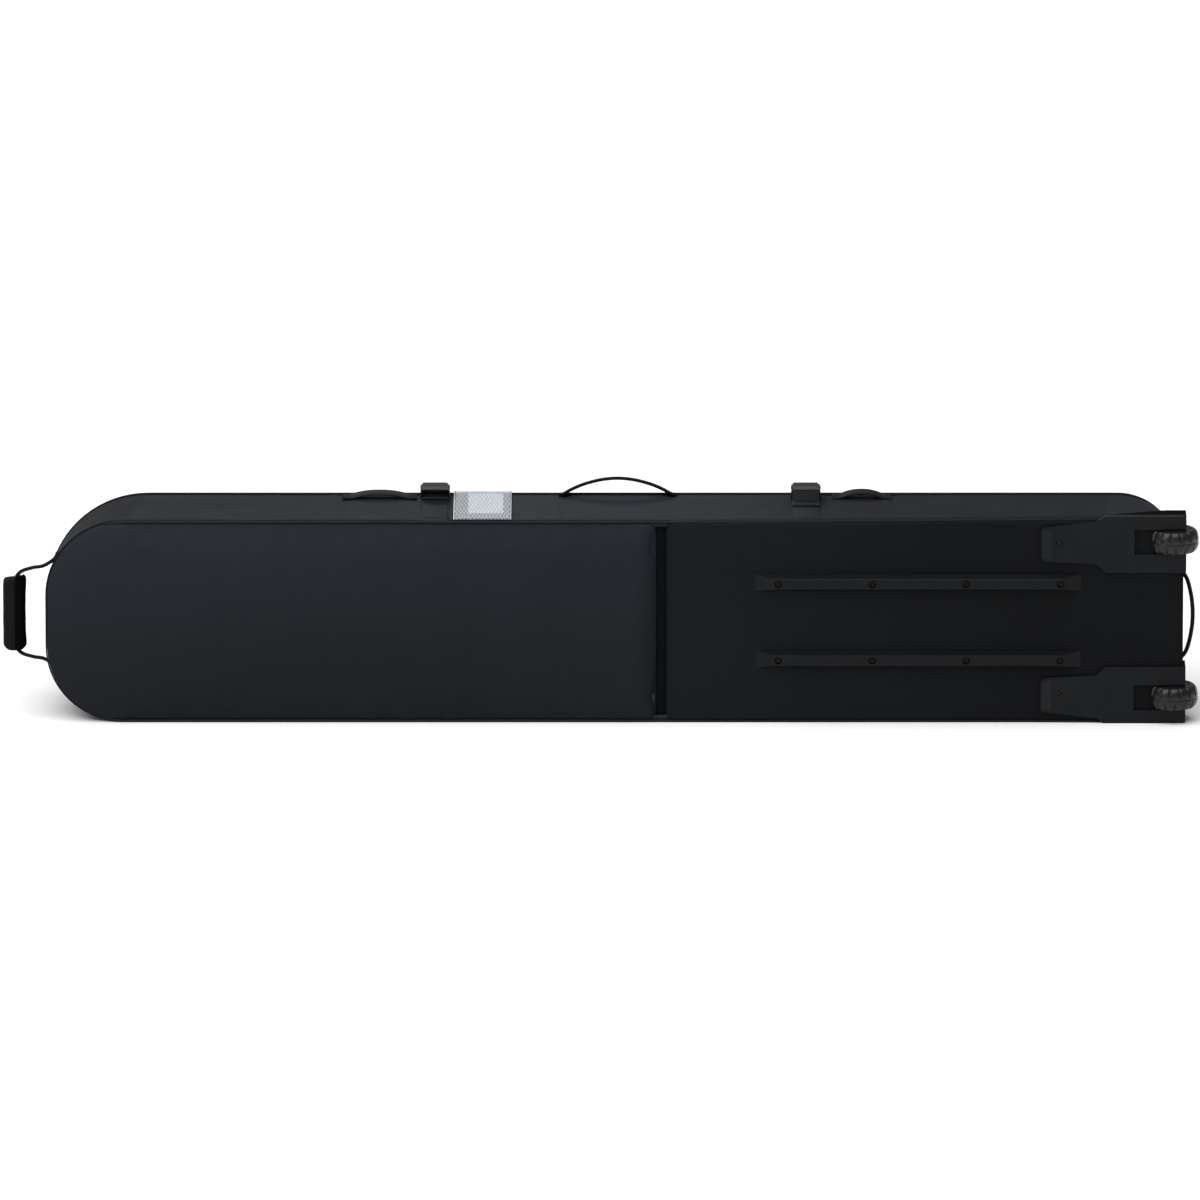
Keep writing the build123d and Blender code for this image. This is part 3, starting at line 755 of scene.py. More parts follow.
def tail_path(r, z0, z1, x1):
    """Dense points (x, z, nx, nz) from (SPLIT_X, z1) round the tail to (SPLIT_X, z0)."""
    out = [(SPLIT_X + (x1 - r - SPLIT_X) * k / 20, z1, 0.0, 1.0) for k in range(20)]
    for k in range(25):
        q = math.radians(90 - 90 * k / 24)
        out.append((x1 - r + r * math.cos(q), z1 - r + r * math.sin(q), math.cos(q), math.sin(q)))
    out += [(x1, z1 - r + (z0 + r - z1 + r) * k / 30, 1.0, 0.0) for k in range(1, 30)]
    for k in range(25):
        q = math.radians(-90 * k / 24)
        out.append((x1 - r + r * math.cos(q), z0 + r + r * math.sin(q), math.cos(q), math.sin(q)))
    out += [(x1 - r + (SPLIT_X - x1 + r) * k / 20, z0, 0.0, -1.0) for k in range(1, 21)]
    return out


def even(path, count):
    """count points at equal distances along a dense (x, z, nx, nz) path, its last point left out."""
    run = [0.0]
    for a, b in zip(path, path[1:]):
        run.append(run[-1] + math.hypot(b[0] - a[0], b[1] - a[1]))
    out, i = [], 0
    for k in range(count):
        want = run[-1] * k / count
        while run[i + 1] < want:
            i += 1
        share = (want - run[i]) / max(run[i + 1] - run[i], 1e-9)
        a, b = path[i], path[i + 1]
        out.append(tuple(a[m] + (b[m] - a[m]) * share for m in range(4)))
    return out


def outline(inset=0.0, nose_r=FRONT_R, tail_r=TAIL_FRONT_R, rise=0.0):
    """Points (x, z, normal x, normal z) round the bag. rise lifts only the tail's top edge."""
    nose_r = nose_r - inset
    x0, z0, z1 = NOSE_X + inset, inset, WIDTH - inset
    x1 = TAIL_X - 4 * MM - inset
    out = []

    def arc(cx, cz, r, start, steps):
        for k in range(steps):
            q = math.radians(start - 90 * k / steps)
            out.append((cx + r * math.cos(q), cz + r * math.sin(q), math.cos(q), math.sin(q)))

    turn = x0 + nose_r
    out += [(SPLIT_X + (turn - SPLIT_X) * k / LONG_STEPS, z0, 0.0, -1.0) for k in range(LONG_STEPS)]
    arc(turn, z0 + nose_r, nose_r, 270, ARC_STEPS)
    out += [(x0, z0 + nose_r + (z1 - z0 - 2 * nose_r) * k / END_STEPS, -1.0, 0.0) for k in range(END_STEPS)]
    arc(turn, z1 - nose_r, nose_r, 180, ARC_STEPS)
    out += [(turn + (SPLIT_X - turn) * k / LONG_STEPS, z1, 0.0, 1.0) for k in range(LONG_STEPS)]
    out += even(tail_path(max(tail_r - inset, MM), z0, z1, x1), TAIL_STEPS)
    if not rise:
        return out
    return [
        (x, z + rise * smooth_step((x - 0.1) / 0.6) * max(0.0, z - MID_Z) / MID_Z, nx, nz)
        for x, z, nx, nz in out
    ]


NOSE_SPAN = (LONG_STEPS, LONG_STEPS + 2 * ARC_STEPS + END_STEPS)
UPPER_SPAN = (NOSE_SPAN[1], NOSE_SPAN[1] + LONG_STEPS)
TAIL_SPAN = (UPPER_SPAN[1], UPPER_SPAN[1] + TAIL_STEPS)
LOOP_COUNT = TAIL_SPAN[1]
OUTLINE_BACK = outline(0.0, CORNER_R, TAIL_BACK_R, 4 * MM)
OUTLINE_FRONT = outline()

CROSS_SEAMS = tuple(x * MM for x in (-368, -270, -213, -51, 103, 331, 426))
ACROSS_STEPS = 28
BACK_SEAM_Y, FRONT_SEAM_Y = BACK_Y + 4 * MM, FRONT_Y - 4 * MM


def seam_dip(x, depth=1.5 * MM, reach=5 * MM):
    """How far the gusset is pulled in by its cross seams at this x."""
    return sum(depth * math.exp(-(((x - s) / reach) ** 2)) for s in CROSS_SEAMS)


def gusset_point(k, t):
    """Point of the side gusset: k counts round the outline, t runs from back seam to front seam."""
    back, front = OUTLINE_BACK[k % LOOP_COUNT], OUTLINE_FRONT[k % LOOP_COUNT]
    x, z = back[0] + (front[0] - back[0]) * t, back[1] + (front[1] - back[1]) * t
    nx, nz = back[2] + (front[2] - back[2]) * t, back[3] + (front[3] - back[3]) * t
    size = max(math.hypot(nx, nz), 1e-6)
    nx, nz = nx / size, nz / size
    y = BACK_SEAM_Y + (FRONT_SEAM_Y - BACK_SEAM_Y) * t
    edge = min(t, 1 - t) * (FRONT_SEAM_Y - BACK_SEAM_Y)
    lift = -0.9 * MM - 2.6 * MM * (1 - smooth_step(edge / (15 * MM)))
    if abs(nz) > 0.9:
        lift -= seam_dip(x)
    bend = noise.noise(Vector((x * 9, t, z * 9)))
    lift += math.exp(-edge / (8 * MM)) * 0.45 * MM * math.sin(x * 430 + z * 300 + 4 * bend)
    lift += wrinkle((x, y, z), 7, 1.0 * MM) * smooth_step(edge / (30 * MM))
    return Vector((x + nx * lift, y, max(z + nz * lift, 0.3 * MM)))


def thicken(piece, amount, inner=1):
    mod = piece.modifiers.new("thickness", "SOLIDIFY")
    mod.thickness = amount
    mod.offset = -1.0
    mod.use_even_offset = False
    mod.material_offset = inner
    mod.material_offset_rim = 0
    return mod


def gusset(name, span, node, material="shell_fabric"):
    rows = []
    for k in range(span[0], span[1] + 1):
        rows.append([gusset_point(k, j / ACROSS_STEPS) for j in range(ACROSS_STEPS + 1)])
    rows.insert(1, [a.lerp(b, 0.05) for a, b in zip(rows[0], rows[1])])
    rows.insert(-1, [a.lerp(b, 0.05) for a, b in zip(rows[-1], rows[-2])])
    verts, faces, uvs = grid(rows)
    piece = add(name, verts, faces, material, "bag", "shell_fabric", uvs, second="lining")
    if piece.data.polygons[0].normal.dot(Vector(rows[0][0]) - Vector((0.1, 0, MID_Z))) < 0:
        piece.data.flip_normals()
    thicken(piece, 6 * MM)
    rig.replaces(piece, node)
    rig.padded(piece, fill=0.8)
    return piece


def half_height(x, inset=0.0, nose_r=CORNER_R):
    """Half the outline's height at this x, round the nose corners."""
    r = nose_r - inset
    near = x - (NOSE_X + inset)
    if near < r:
        return WIDTH / 2 - inset - r + math.sqrt(max(0.0, r * r - (r - near) ** 2))
    return WIDTH / 2 - inset


def edge_distance(x, z, inset, end_x=None, end_r=0.0, nose_r=CORNER_R):
    """Distance inwards from the rounded outline at this inset, and from a straight end at end_x if given."""
    r = nose_r - inset
    dz = abs(z - MID_Z) - (WIDTH / 2 - inset - r)
    dx = (NOSE_X + inset + r) - x
    inside = r - math.hypot(max(dx, 0), max(dz, 0)) - min(max(dx, dz), 0)
    if end_x is not None:
        qx, qz = x - (end_x - end_r), abs(z - MID_Z) - (WIDTH / 2 - inset - end_r)
        inside = min(inside, end_r - math.hypot(max(qx, 0), max(qz, 0)) - min(max(qx, qz), 0))
    return inside


def ease_round(d, reach):
    """0 at an edge, rising like a quarter of an ellipse to 1 at reach."""
    d = min(max(d / reach, 0.0), 1.0)
    return math.sqrt(1 - (1 - d) ** 2)


def columns(start, end, nose_r, count, end_r=0.0, steps=18):
    """X positions that crowd towards round ends, so that their arcs stay smooth."""
    out = []
    if nose_r:
        out += [start + nose_r * (1 - math.cos(math.radians(90 * k / steps))) for k in range(steps)]
        start += nose_r
    stop = end - end_r
    out += [start + (stop - start) * k / count for k in range(count)]
    if end_r:
        out += [stop + end_r * math.sin(math.radians(90 * k / steps)) for k in range(steps)]
    out.append(end)
    return out


def end_half(x, end_x, end_r, half):
    """Half height near a straight end whose corners are rounded."""
    far = end_x - x
    if far >= end_r:
        return half
    return half - end_r + math.sqrt(max(0.0, end_r * end_r - (end_r - far) ** 2))


def panel_rows(xs, low_z, high_z, y_of, steps=48):
    """Rows of points across a face panel, closer together towards its two long edges."""
    rows = []
    for x in xs:
        a, b = low_z(x), high_z(x)
        row = []
        for j in range(steps + 1):
            u = 2 * j / steps - 1
            u = 0.55 * u + 0.45 * math.sin(math.pi / 2 * u)
            z = (a + b) / 2 + (b - a) / 2 * u
            row.append(Vector((x, y_of(x, z), z)))
        rows.append(row)
    return rows


def face_panel(
    name, rows, material, body, nodes, thick, second="lining", facing=-1, slot=None, pressure=0.0,
    cap=0.0
):
    verts, faces, uvs = grid(rows)
    piece = add(name, verts, faces, material, body, slot, uvs, second=second)
    middle = piece.data.polygons[len(piece.data.polygons) // 2]
    if middle.normal.y * facing < 0:
        piece.data.flip_normals()
    if pressure:
        cloth(piece, border_indices(len(rows[0]), len(rows)), pressure, cap)
    thicken(piece, thick)
    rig.replaces(piece, *nodes)
    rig.padded(piece, fill=0.7)
    return piece


def cloth(piece, pinned, pressure, cap, frames=18, slack=-0.006):
    """Lets the fabric swell inside its pinned edge and keeps the result. No point moves further than cap."""
    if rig.quick():
        return
    before = [v.co.copy() for v in piece.data.vertices]
    group = piece.vertex_groups.new(name="pin")
    group.add(pinned, 1.0, "REPLACE")
    mod = piece.modifiers.new("cloth", "CLOTH")
    settings = mod.settings
    settings.quality = 6
    settings.mass = 0.25
    settings.tension_stiffness = settings.compression_stiffness = 25
    settings.shear_stiffness = 12
    settings.bending_stiffness = 1.2
    settings.air_damping = 4
    settings.effector_weights.gravity = 0
    settings.use_pressure = True
    settings.uniform_pressure_force = pressure
    settings.vertex_group_mass = "pin"
    settings.shrink_min = slack
    mod.collision_settings.use_collision = False
    scene = bpy.context.scene
    for number in range(1, frames + 1):
        scene.frame_set(number)
    evaluated = piece.evaluated_get(bpy.context.evaluated_depsgraph_get())
    after = [v.co.copy() for v in evaluated.data.vertices]
    piece.modifiers.remove(mod)
    scene.frame_set(1)
    for vert, a, b in zip(piece.data.vertices, before, after):
        move = b - a
        if move.length > cap:
            move *= cap / move.length
        vert.co = a + move
    piece.data.update()


def border_indices(across, down):
    out = [j for j in range(across)] + [(down - 1) * across + j for j in range(across)]
    out += [i * across for i in range(down)] + [i * across + across - 1 for i in range(down)]
    return sorted(set(out))


# Camera first, at the photograph's viewing angle


def make_camera():
    elevation = math.radians(14)
    distance, wide = 30.0, 1.736
    aim = Vector((-0.0007, BACK_Y, 0.183))
    data = bpy.data.cameras.new("camera")
    data.sensor_width = 36
    data.lens = distance * 36 / wide
    data.clip_start = 1.0
    data.clip_end = 200
    camera = bpy.data.objects.new("camera", data)
    camera.location = aim + distance * Vector((0, -math.cos(elevation), math.sin(elevation)))
    camera.rotation_euler = (math.pi / 2 - elevation, 0, 0)
    bpy.context.scene.collection.objects.link(camera)
    bpy.context.scene.camera = camera


def area_light(name, place, target, size, power, colour=(1, 1, 1)):
    data = bpy.data.lights.new(name, "AREA")
    data.shape = "RECTANGLE"
    data.size, data.size_y = size
    data.energy = power
    data.color = colour
    lamp = bpy.data.objects.new(name, data)
    lamp.location = place
    lamp.rotation_euler = (Vector(target) - Vector(place)).to_track_quat("-Z", "Y").to_euler()
    bpy.context.scene.collection.objects.link(lamp)


def make_studio():
    floor_mesh = bpy.data.meshes.new("floor")
    side = 60.0
    corners = [(-side, -side, 0), (side, -side, 0), (side, side, 0), (-side, side, 0)]
    floor_mesh.from_pydata(corners, [], [(0, 1, 2, 3)])
    floor = bpy.data.objects.new("floor", floor_mesh)
    floor.location.z = -0.2 * MM
    pale = Shader("floor", rough=0.9, specular=0.1)
    tone = pale.noise(pale.coords(), 0.6, 2.0)
    pale.colour(pale.ramp(tone, [(0.3, (0.88, 0.88, 0.88)), (0.7, (0.9, 0.9, 0.9))]))
    floor_mesh.materials.append(pale.mat)
    bpy.context.scene.collection.objects.link(floor)
    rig.stage(floor)
    world = bpy.data.worlds.new("studio")
    world.use_nodes = True
    world.node_tree.nodes["Background"].inputs["Color"].default_value = (1, 1, 1, 1)
    world.node_tree.nodes["Background"].inputs["Strength"].default_value = 0.28
    bpy.context.scene.world = world
    sun = bpy.data.lights.new("overhead", "SUN")
    sun.energy = 3.2
    sun.angle = math.radians(70)
    lamp = bpy.data.objects.new("overhead", sun)
    lamp.rotation_euler = Vector((-0.2, -0.36, 1.0)).to_track_quat("Z", "Y").to_euler()
    bpy.context.scene.collection.objects.link(lamp)
    area_light("key", (-1.1, -1.7, 1.3), (-0.35, 0, 0.2), (0.9, 0.7), 11)
    area_light("rim", (-0.8, 2.2, 1.6), (-0.1, 0, 0.25), (2.4, 0.5), 12)
    view = bpy.context.scene.view_settings
    view.view_transform = "Standard"
    view.look = "None"


# Shell of the bag


def back_y(x, z):
    """The soft back panel: full in the middle, drawn in at its seams, rolled down into the valley."""
    seam = edge_distance(x, z, 2.5 * MM)
    reach = 14 * MM + 22 * MM * smooth_step((NOSE_X + CORNER_R - x) / CORNER_R)
    y = BACK_Y + 4.5 * MM - 5.0 * MM * ease_round(seam, reach) - 1.5 * MM * smooth_step(seam / 0.09)
    y += 10 * MM * (1 - ease_round(edge_distance(x, z, -20 * MM, VALLEY_NEAR + 3 * MM, 30 * MM), 20 * MM))
    y += wrinkle((x, y, z), 5.5, 1.1 * MM) * smooth_step(seam / 0.05)
    low_crease = math.exp(
        -((z - 9 * MM) / (7 * MM)) ** 2
    ) * smooth_step((x + 0.42) / 0.1) * smooth_step((-0.14 - x) / 0.1)
    y += low_crease * 0.8 * MM * math.sin(x * 95 + 2 * noise.noise(Vector((x * 8, 0, 0))))
    return y


def make_shell():
    roll_r = 13 * MM
    end_x = VALLEY_NEAR + 3 * MM
    xs = columns(NOSE_X + 2.5 * MM, end_x, CORNER_R - 2.5 * MM, 86, roll_r, 10)

    def half(x):
        return min(half_height(x, 2.5 * MM), end_half(x, end_x, roll_r, WIDTH / 2 - 2.5 * MM))

    rows = panel_rows(xs, lambda x: MID_Z - half(x), lambda x: MID_Z + half(x), back_y)
    face_panel(
        "back_soft_panel", rows, "shell_fabric", "bag", ["nose_back_panel"], 3 * MM, pressure=3.0,
        cap=5 * MM
    )

    rows = panel_rows(
        [VALLEY_NEAR - 6 * MM + 35 * MM * k / 10 for k in range(11)],
        lambda x: 1.5 * MM,
        lambda x: WIDTH - 1.5 * MM,
        lambda x, z: VALLEY_Y - 1.5 * MM * math.sin(math.pi * min(1, max(0, (x - VALLEY_NEAR) / 0.025)))
        + wrinkle((x, 0, z), 30, 0.5 * MM),
    )
    # The fold takes the near-black valley cloth: painted shade.
    face_panel("valley_fold", rows, "valley_fabric", "bag", ["valley_strip"], 2 * MM, slot="shell_fabric")

    base_r = 14 * MM
    start = VALLEY_FAR - 8 * MM

    def base_low(x):
        return 3 * MM + (base_r - end_half(-x, -start, base_r, base_r))

    def base_high(x):
        rise = 4 * MM * smooth_step((x - 0.1) / 0.6)
        return WIDTH - 1.5 * MM + rise - (base_r - end_half(-x, -start, base_r, base_r))

    def base_y(x, z):
        edge = min(z - base_low(x), base_high(x) - z, x - start, 0.05)
        y = BACK_Y + 3.2 * MM - 3.2 * MM * ease_round(edge, 4.5 * MM)
        return y + wrinkle((x, 0, z), 4.0, 0.45 * MM) * smooth_step(edge / 0.03)

    xs = [start + base_r * (1 - math.cos(math.radians(9 * k))) for k in range(10)]
    xs += [start + base_r + (BASE_TAIL_X - start - base_r) * k / 90 for k in range(91)]
    rows = panel_rows(xs, base_low, base_high, base_y)
    face_panel(
        "base_coated_panel", rows, "base_fabric", "bag", ["base_panel"], 2.5 * MM,
        second="base_fabric"
    )

    # The long sides take a lighter copy of the shell cloth, painted light, and the nose end a darker copy, painted
    # shade.
    gusset("lower_side", (0, NOSE_SPAN[0]), "lower_gusset", "side_fabric")
    gusset("nose_end", NOSE_SPAN, "nose_gusset", "nose_fabric")
    gusset("upper_side", UPPER_SPAN, "upper_gusset", "side_fabric")
    gusset("tail_end", TAIL_SPAN, "tail_gusset")


def ring_path(points, y, lift=0.0):
    """An outline at one y, moved outward by lift."""
    return [Vector((p[0] + p[2] * lift, y, p[1] + p[3] * lift)) for p in points]


def outward(outline_points):
    """A function that gives the outline's outward direction nearest to a point."""

    def find(p):
        best = min(outline_points, key=lambda q: (q[0] - p.x) ** 2 + (q[1] - p.z) ** 2)
        return Vector((best[2], 0, best[3]))

    return find


def make_edges():
    cord = outline(1.6 * MM, CORNER_R, TAIL_BACK_R, 4 * MM)
    loop = []
    for x, z, nx, nz in cord:
        sink = 2.4 * MM * smooth_step((NOSE_X + CORNER_R - x) / (40 * MM))
        loop.append(Vector((x - nx * sink, BACK_Y + 3.6 * MM + sink, z - nz * sink)))
    tube("back_cord", loop, 2.1 * MM, "piping", closed=True, sides=8)
    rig.replaces(bpy.data.objects["back_cord"], "back_piping")
    seat = outline(0.6 * MM, CORNER_R, TAIL_BACK_R, 4 * MM)
    tube(
        "back_cord_tape", ring_path(seat, BACK_Y + 7.2 * MM), 1.1 * MM, "webbing", closed=True,
        sides=6, slot="piping"
    )
    edge = outline(2.0 * MM)
    tube("front_cord", ring_path(edge, FRONT_Y - 3.2 * MM), 2.0 * MM, "piping", closed=True, sides=8)
    out = OUTLINE_BACK
    rows = [
        ring_path(out, BACK_SEAM_Y + 8 * MM, -2.1 * MM),
        ring_path(OUTLINE_FRONT, FRONT_SEAM_Y - 8 * MM, -2.1 * MM)
    ]
    for name, row in zip(("back_seam_stitch", "front_seam_stitch"), rows):
        stitches(name, [row + row[:1]], outward(out))


def ring_face(name, outer, inner, y_of, material, nodes, steps=8, thick=2 * MM):
    """A band on the front face between two outlines with the same number of points."""
    rows = []
    for a, b in zip(outer, inner):
        row = []
        for j in range(steps + 1):
            t = j / steps
            x, z = a[0] + (b[0] - a[0]) * t, a[1] + (b[1] - a[1]) * t
            row.append(Vector((x, y_of(x, z, t), z)))
        rows.append(row)
    verts, faces, uvs = grid(rows, closed_rows=True)
    piece = add(name, verts, faces, material, "bag", None, uvs, second=material)
    if piece.data.polygons[0].normal.y < 0:
        piece.data.flip_normals()
    thicken(piece, thick)
    if nodes:
        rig.replaces(piece, *nodes)
    return piece


def make_front():
    def border_y(x, z, t):
        y = FRONT_Y - 4 * MM + 4 * MM * ease_round(
            t * TAPE_INSET, 7 * MM
        ) - 1.5 * MM * smooth_step((t - 0.7) / 0.3)
        return y + wrinkle((x, 0, z), 12, 0.5 * MM) * math.sin(math.pi * t)

    ring_face(
        "front_band", outline(2 * MM), outline(TAPE_INSET + 3 * MM), border_y, "shell_fabric",
        ["front_border"]
    )
    x_edge = HINGE_X + 2 * MM
    xs = columns(x_edge, TAIL_X - 4 * MM - TAPE_INSET, 0, 10, 60 * MM, 14)

    def half(x):
        return end_half(x, TAIL_X - 4 * MM - TAPE_INSET, TAIL_FRONT_R - TAPE_INSET, WIDTH / 2 - TAPE_INSET)

    rows = panel_rows(
        xs,
        lambda x: MID_Z - half(x),
        lambda x: MID_Z + half(x),
        lambda x, z: FRONT_Y - 1.5 * MM - 1.5 * MM * (
            1 - ease_round(x - x_edge, 6 * MM)
        ) + wrinkle((x, 0, z), 10, 0.7 * MM),
        24,
    )
    verts, faces, uvs = grid(rows)
    tail_face = add("front_tail_panel", verts, faces, "shell_fabric", "bag", None, uvs, second="lining")
    if tail_face.data.polygons[0].normal.y < 0:
        tail_face.data.flip_normals()
    thicken(tail_face, 2 * MM)

    def lid_y(x, z):
        d = min(edge_distance(x, z, LID_INSET, nose_r=FRONT_R), HINGE_X - x)
        y = FRONT_Y - 3.5 * MM + 3.5 * MM * ease_round(d, 14 * MM) + 2.5 * MM * smooth_step(d / 0.1)
        return y + wrinkle((x, 1, z), 4.5, 1.4 * MM) * smooth_step(d / 0.05)

    xs = columns(NOSE_X + LID_INSET, HINGE_X, FRONT_R - LID_INSET, 100, 0)
    rows = panel_rows(
        xs,
        lambda x: MID_Z - half_height(x, LID_INSET, FRONT_R),
        lambda x: MID_Z + half_height(x, LID_INSET, FRONT_R),
        lid_y,
    )
    face_panel(
        "lid_soft_panel", rows, "shell_fabric", "lid", ["lid_panel"], 3 * MM, facing=1,
        pressure=3.0, cap=6 * MM
    )


def make_lid_hinge():
    """The fold of cloth that joins the lid to the tail panel and bends when the lid opens."""
    rows = []
    for k in range(61):
        z = LID_INSET + 1 * MM + (WIDTH - 2 * LID_INSET - 2 * MM) * k / 60
        row = []
        for j in range(13):
            t = j / 12
            y = FRONT_Y - 1.8 * MM + 1.3 * MM * math.sin(math.pi * t) + wrinkle((t, 0, z), 30, 0.3 * MM)
            row.append(Vector((HINGE_X - 6 * MM + 15 * MM * t, y, z)))
        rows.append(row)
    verts, faces, uvs = grid(rows)
    fold = add("lid_hinge_fold", verts, faces, "shell_fabric", None, None, uvs, second="lining")
    if fold.data.polygons[0].normal.y < 0:
        fold.data.flip_normals()
    thicken(fold, 1.4 * MM)
    start, end = (HINGE_X + 5 * MM, FRONT_Y - 2 * MM, MID_Z), (HINGE_X - 3 * MM, FRONT_Y - 2 * MM, MID_Z)
    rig.blend(fold, "bag", "lid", start=start, end=end)


def inner_pad(name, xs, low_z, high_z, y_out, y_in, body, nodes, channel=60 * MM, steps=36):
    """A quilted lining pad: a closed form with a flat outer side and sewn channels across its inner side."""
    rows = []
    for x in xs:
        a, b = low_z(x), high_z(x)
        row = []
        for j in range(steps + 1):
            u = math.sin(math.pi / 2 * (2 * j / steps - 1))
            z = (a + b) / 2 + (b - a) / 2 * u
            edge = min(z - a, b - z, x - xs[0], xs[-1] - x)
            swell = ease_round(edge, 14 * MM)
            wave = abs(math.sin(math.pi * x / channel)) ** 0.5
            depth = (y_in - y_out) * (0.35 + 0.65 * swell * (0.55 + 0.45 * wave))
            row.append(Vector((x, y_out + depth, z)))
        rows.append(row)
    verts, faces, uvs = grid(rows)
    piece = add(name, verts, faces, "lining", body, "foam", uvs, second="foam")
    if (piece.data.polygons[len(faces) // 2].normal.y > 0) != (y_in > y_out):
        piece.data.flip_normals()
    thicken(piece, abs(y_in - y_out) * 0.33)
    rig.replaces(piece, *nodes)
    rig.padded(piece, fill=0.7)


def make_linings():
    xs = columns(NOSE_X + 10 * MM, VALLEY_NEAR, CORNER_R - 10 * MM, 150, 0)
    inner_pad(
        "back_lining",
        xs,
        lambda x: MID_Z - half_height(x, 10 * MM),
        lambda x: MID_Z + half_height(x, 10 * MM),
        BACK_Y + 5 * MM,
        LINING_Y,
        "bag",
        ["nose_foam"],
    )
    xs = [VALLEY_FAR + 1 * MM + (BASE_TAIL_X - 14 * MM - VALLEY_FAR) * k / 130 for k in range(131)]
    foam_low, foam_high = low("base_foam"), high("base_foam")
    inner_pad(
        "base_lining",
        xs,
        lambda x: foam_low.z,
        lambda x: foam_high.z,
        foam_low.y + 0.5 * MM,
        foam_high.y,
        "bag",
        ["base_foam"],
    )
    xs = columns(NOSE_X + LID_INSET + 4 * MM, HINGE_X - 4 * MM, FRONT_R - LID_INSET - 4 * MM, 150, 0)
    inner_pad(
        "lid_lining",
        xs,
        lambda x: MID_Z - half_height(x, LID_INSET + 4 * MM, FRONT_R),
        lambda x: MID_Z + half_height(x, LID_INSET + 4 * MM, FRONT_R),
        FRONT_Y - 3 * MM,
        low("lid_foam").y,
        "lid",
        ["lid_foam"],
    )


# Small hard parts built from rounded outlines


def rounded(points, radius, steps=5):
    """The polygon with each corner replaced by an arc. radius is one number or one for each corner."""
    out = []
    count = len(points)
    for i, p in enumerate(points):
        r = radius[i] if isinstance(radius, (list, tuple)) else radius
        p, a, b = Vector(p), Vector(points[i - 1]), Vector(points[(i + 1) % count])
        ta, tb = (a - p).normalized(), (b - p).normalized()
        angle = ta.angle(tb)
        if r <= 0 or angle > math.radians(176):
            out.append(p)
            continue
        reach = min(r / math.tan(angle / 2), (a - p).length * 0.49, (b - p).length * 0.49)
        r = reach * math.tan(angle / 2)
        centre = p + (ta + tb).normalized() * (r / math.sin(angle / 2))
        start, end = p + ta * reach - centre, p + tb * reach - centre
        sweep = start.angle_signed(end)
        for k in range(steps + 1):
            q = -sweep * k / steps
            turned = Vector(
                (
                    start.x * math.cos(q) - start.y * math.sin(q),
                    start.x * math.sin(q) + start.y * math.cos(q)
                )
            )
            out.append(centre + turned)
    return out


class Parts:
    """Collects extruded outlines and grids that make up one hard piece."""

    def __init__(self):
        self.bm = bmesh.new()

    def slab(self, outline_points, place, low_t, high_t, draft=0.0):
        """place turns (u, v, t) into a point. The outline is extruded from low_t to high_t, inset by draft at high_t."""
        centre = sum((Vector(p) for p in outline_points), Vector((0, 0))) / len(outline_points)
        lower, upper = [], []
        for p in outline_points:
            p = Vector(p)
            q = p + (centre - p).normalized() * draft
            lower.append(self.bm.verts.new(place(p.x, p.y, low_t)))
            upper.append(self.bm.verts.new(place(q.x, q.y, high_t)))
        count = len(lower)
        for i in range(count):
            j = (i + 1) % count
            self.bm.faces.new((lower[i], lower[j], upper[j], upper[i]))
        self.bm.faces.new(list(reversed(lower)))
        self.bm.faces.new(upper)

    def grid(self, rows, closed_rows=False, closed_columns=False, caps=False):
        verts, faces, _ = grid(rows, closed_rows, closed_columns)
        made = [self.bm.verts.new(v) for v in verts]
        for face in faces:
            self.bm.faces.new([made[i] for i in face])
        if caps:
            count = len(rows[0])
            self.bm.faces.new(list(reversed(made[:count])))
            self.bm.faces.new(made[-count:])

    def make(
        self, name, material, body, nodes=(), round_width=0.5 * MM, segments=3, slot=None,
        smooth_angle=35
    ):
        bmesh.ops.recalc_face_normals(self.bm, faces=self.bm.faces)
        mesh = bpy.data.meshes.new(name)
        self.bm.to_mesh(mesh)
        self.bm.free()
        mesh.materials.append(M[material])
        piece = bpy.data.objects.new(name, mesh)
        bpy.context.scene.collection.objects.link(piece)
        mesh.polygons.foreach_set("use_smooth", [True] * len(mesh.polygons))
        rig.ride(piece, body)
        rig.slot(piece, slot or material)
        if nodes:
            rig.replaces(piece, *nodes)
        if round_width:
            mod = piece.modifiers.new("rounding", "BEVEL")
            mod.width = round_width
            mod.segments = segments
            mod.limit_method = "ANGLE"
            mod.angle_limit = math.radians(smooth_angle)
            mod.harden_normals = False
        flatten = piece.modifiers.new("flat_normals", "WEIGHTED_NORMAL")
        flatten.keep_sharp = True
        return piece


def flat_xy(u, v, t):
    return (u, v, t)


def bar_rows(start, end, across, radius_a, radius_b, axis_a, steps=10, sides=12):
    """A rounded bar between two points with an elliptic section."""
    rows = []
    start, end = Vector(start), Vector(end)
    for k in range(steps + 1):
        p = start + (end - start) * (k / steps)
        row = []
        for m in range(sides):
            q = 2 * math.pi * m / sides
            row.append(
                p + Vector(axis_a) * (radius_a * math.cos(q))
                + Vector(across) * (radius_b * math.sin(q))
            )
        rows.append(row)
    return rows


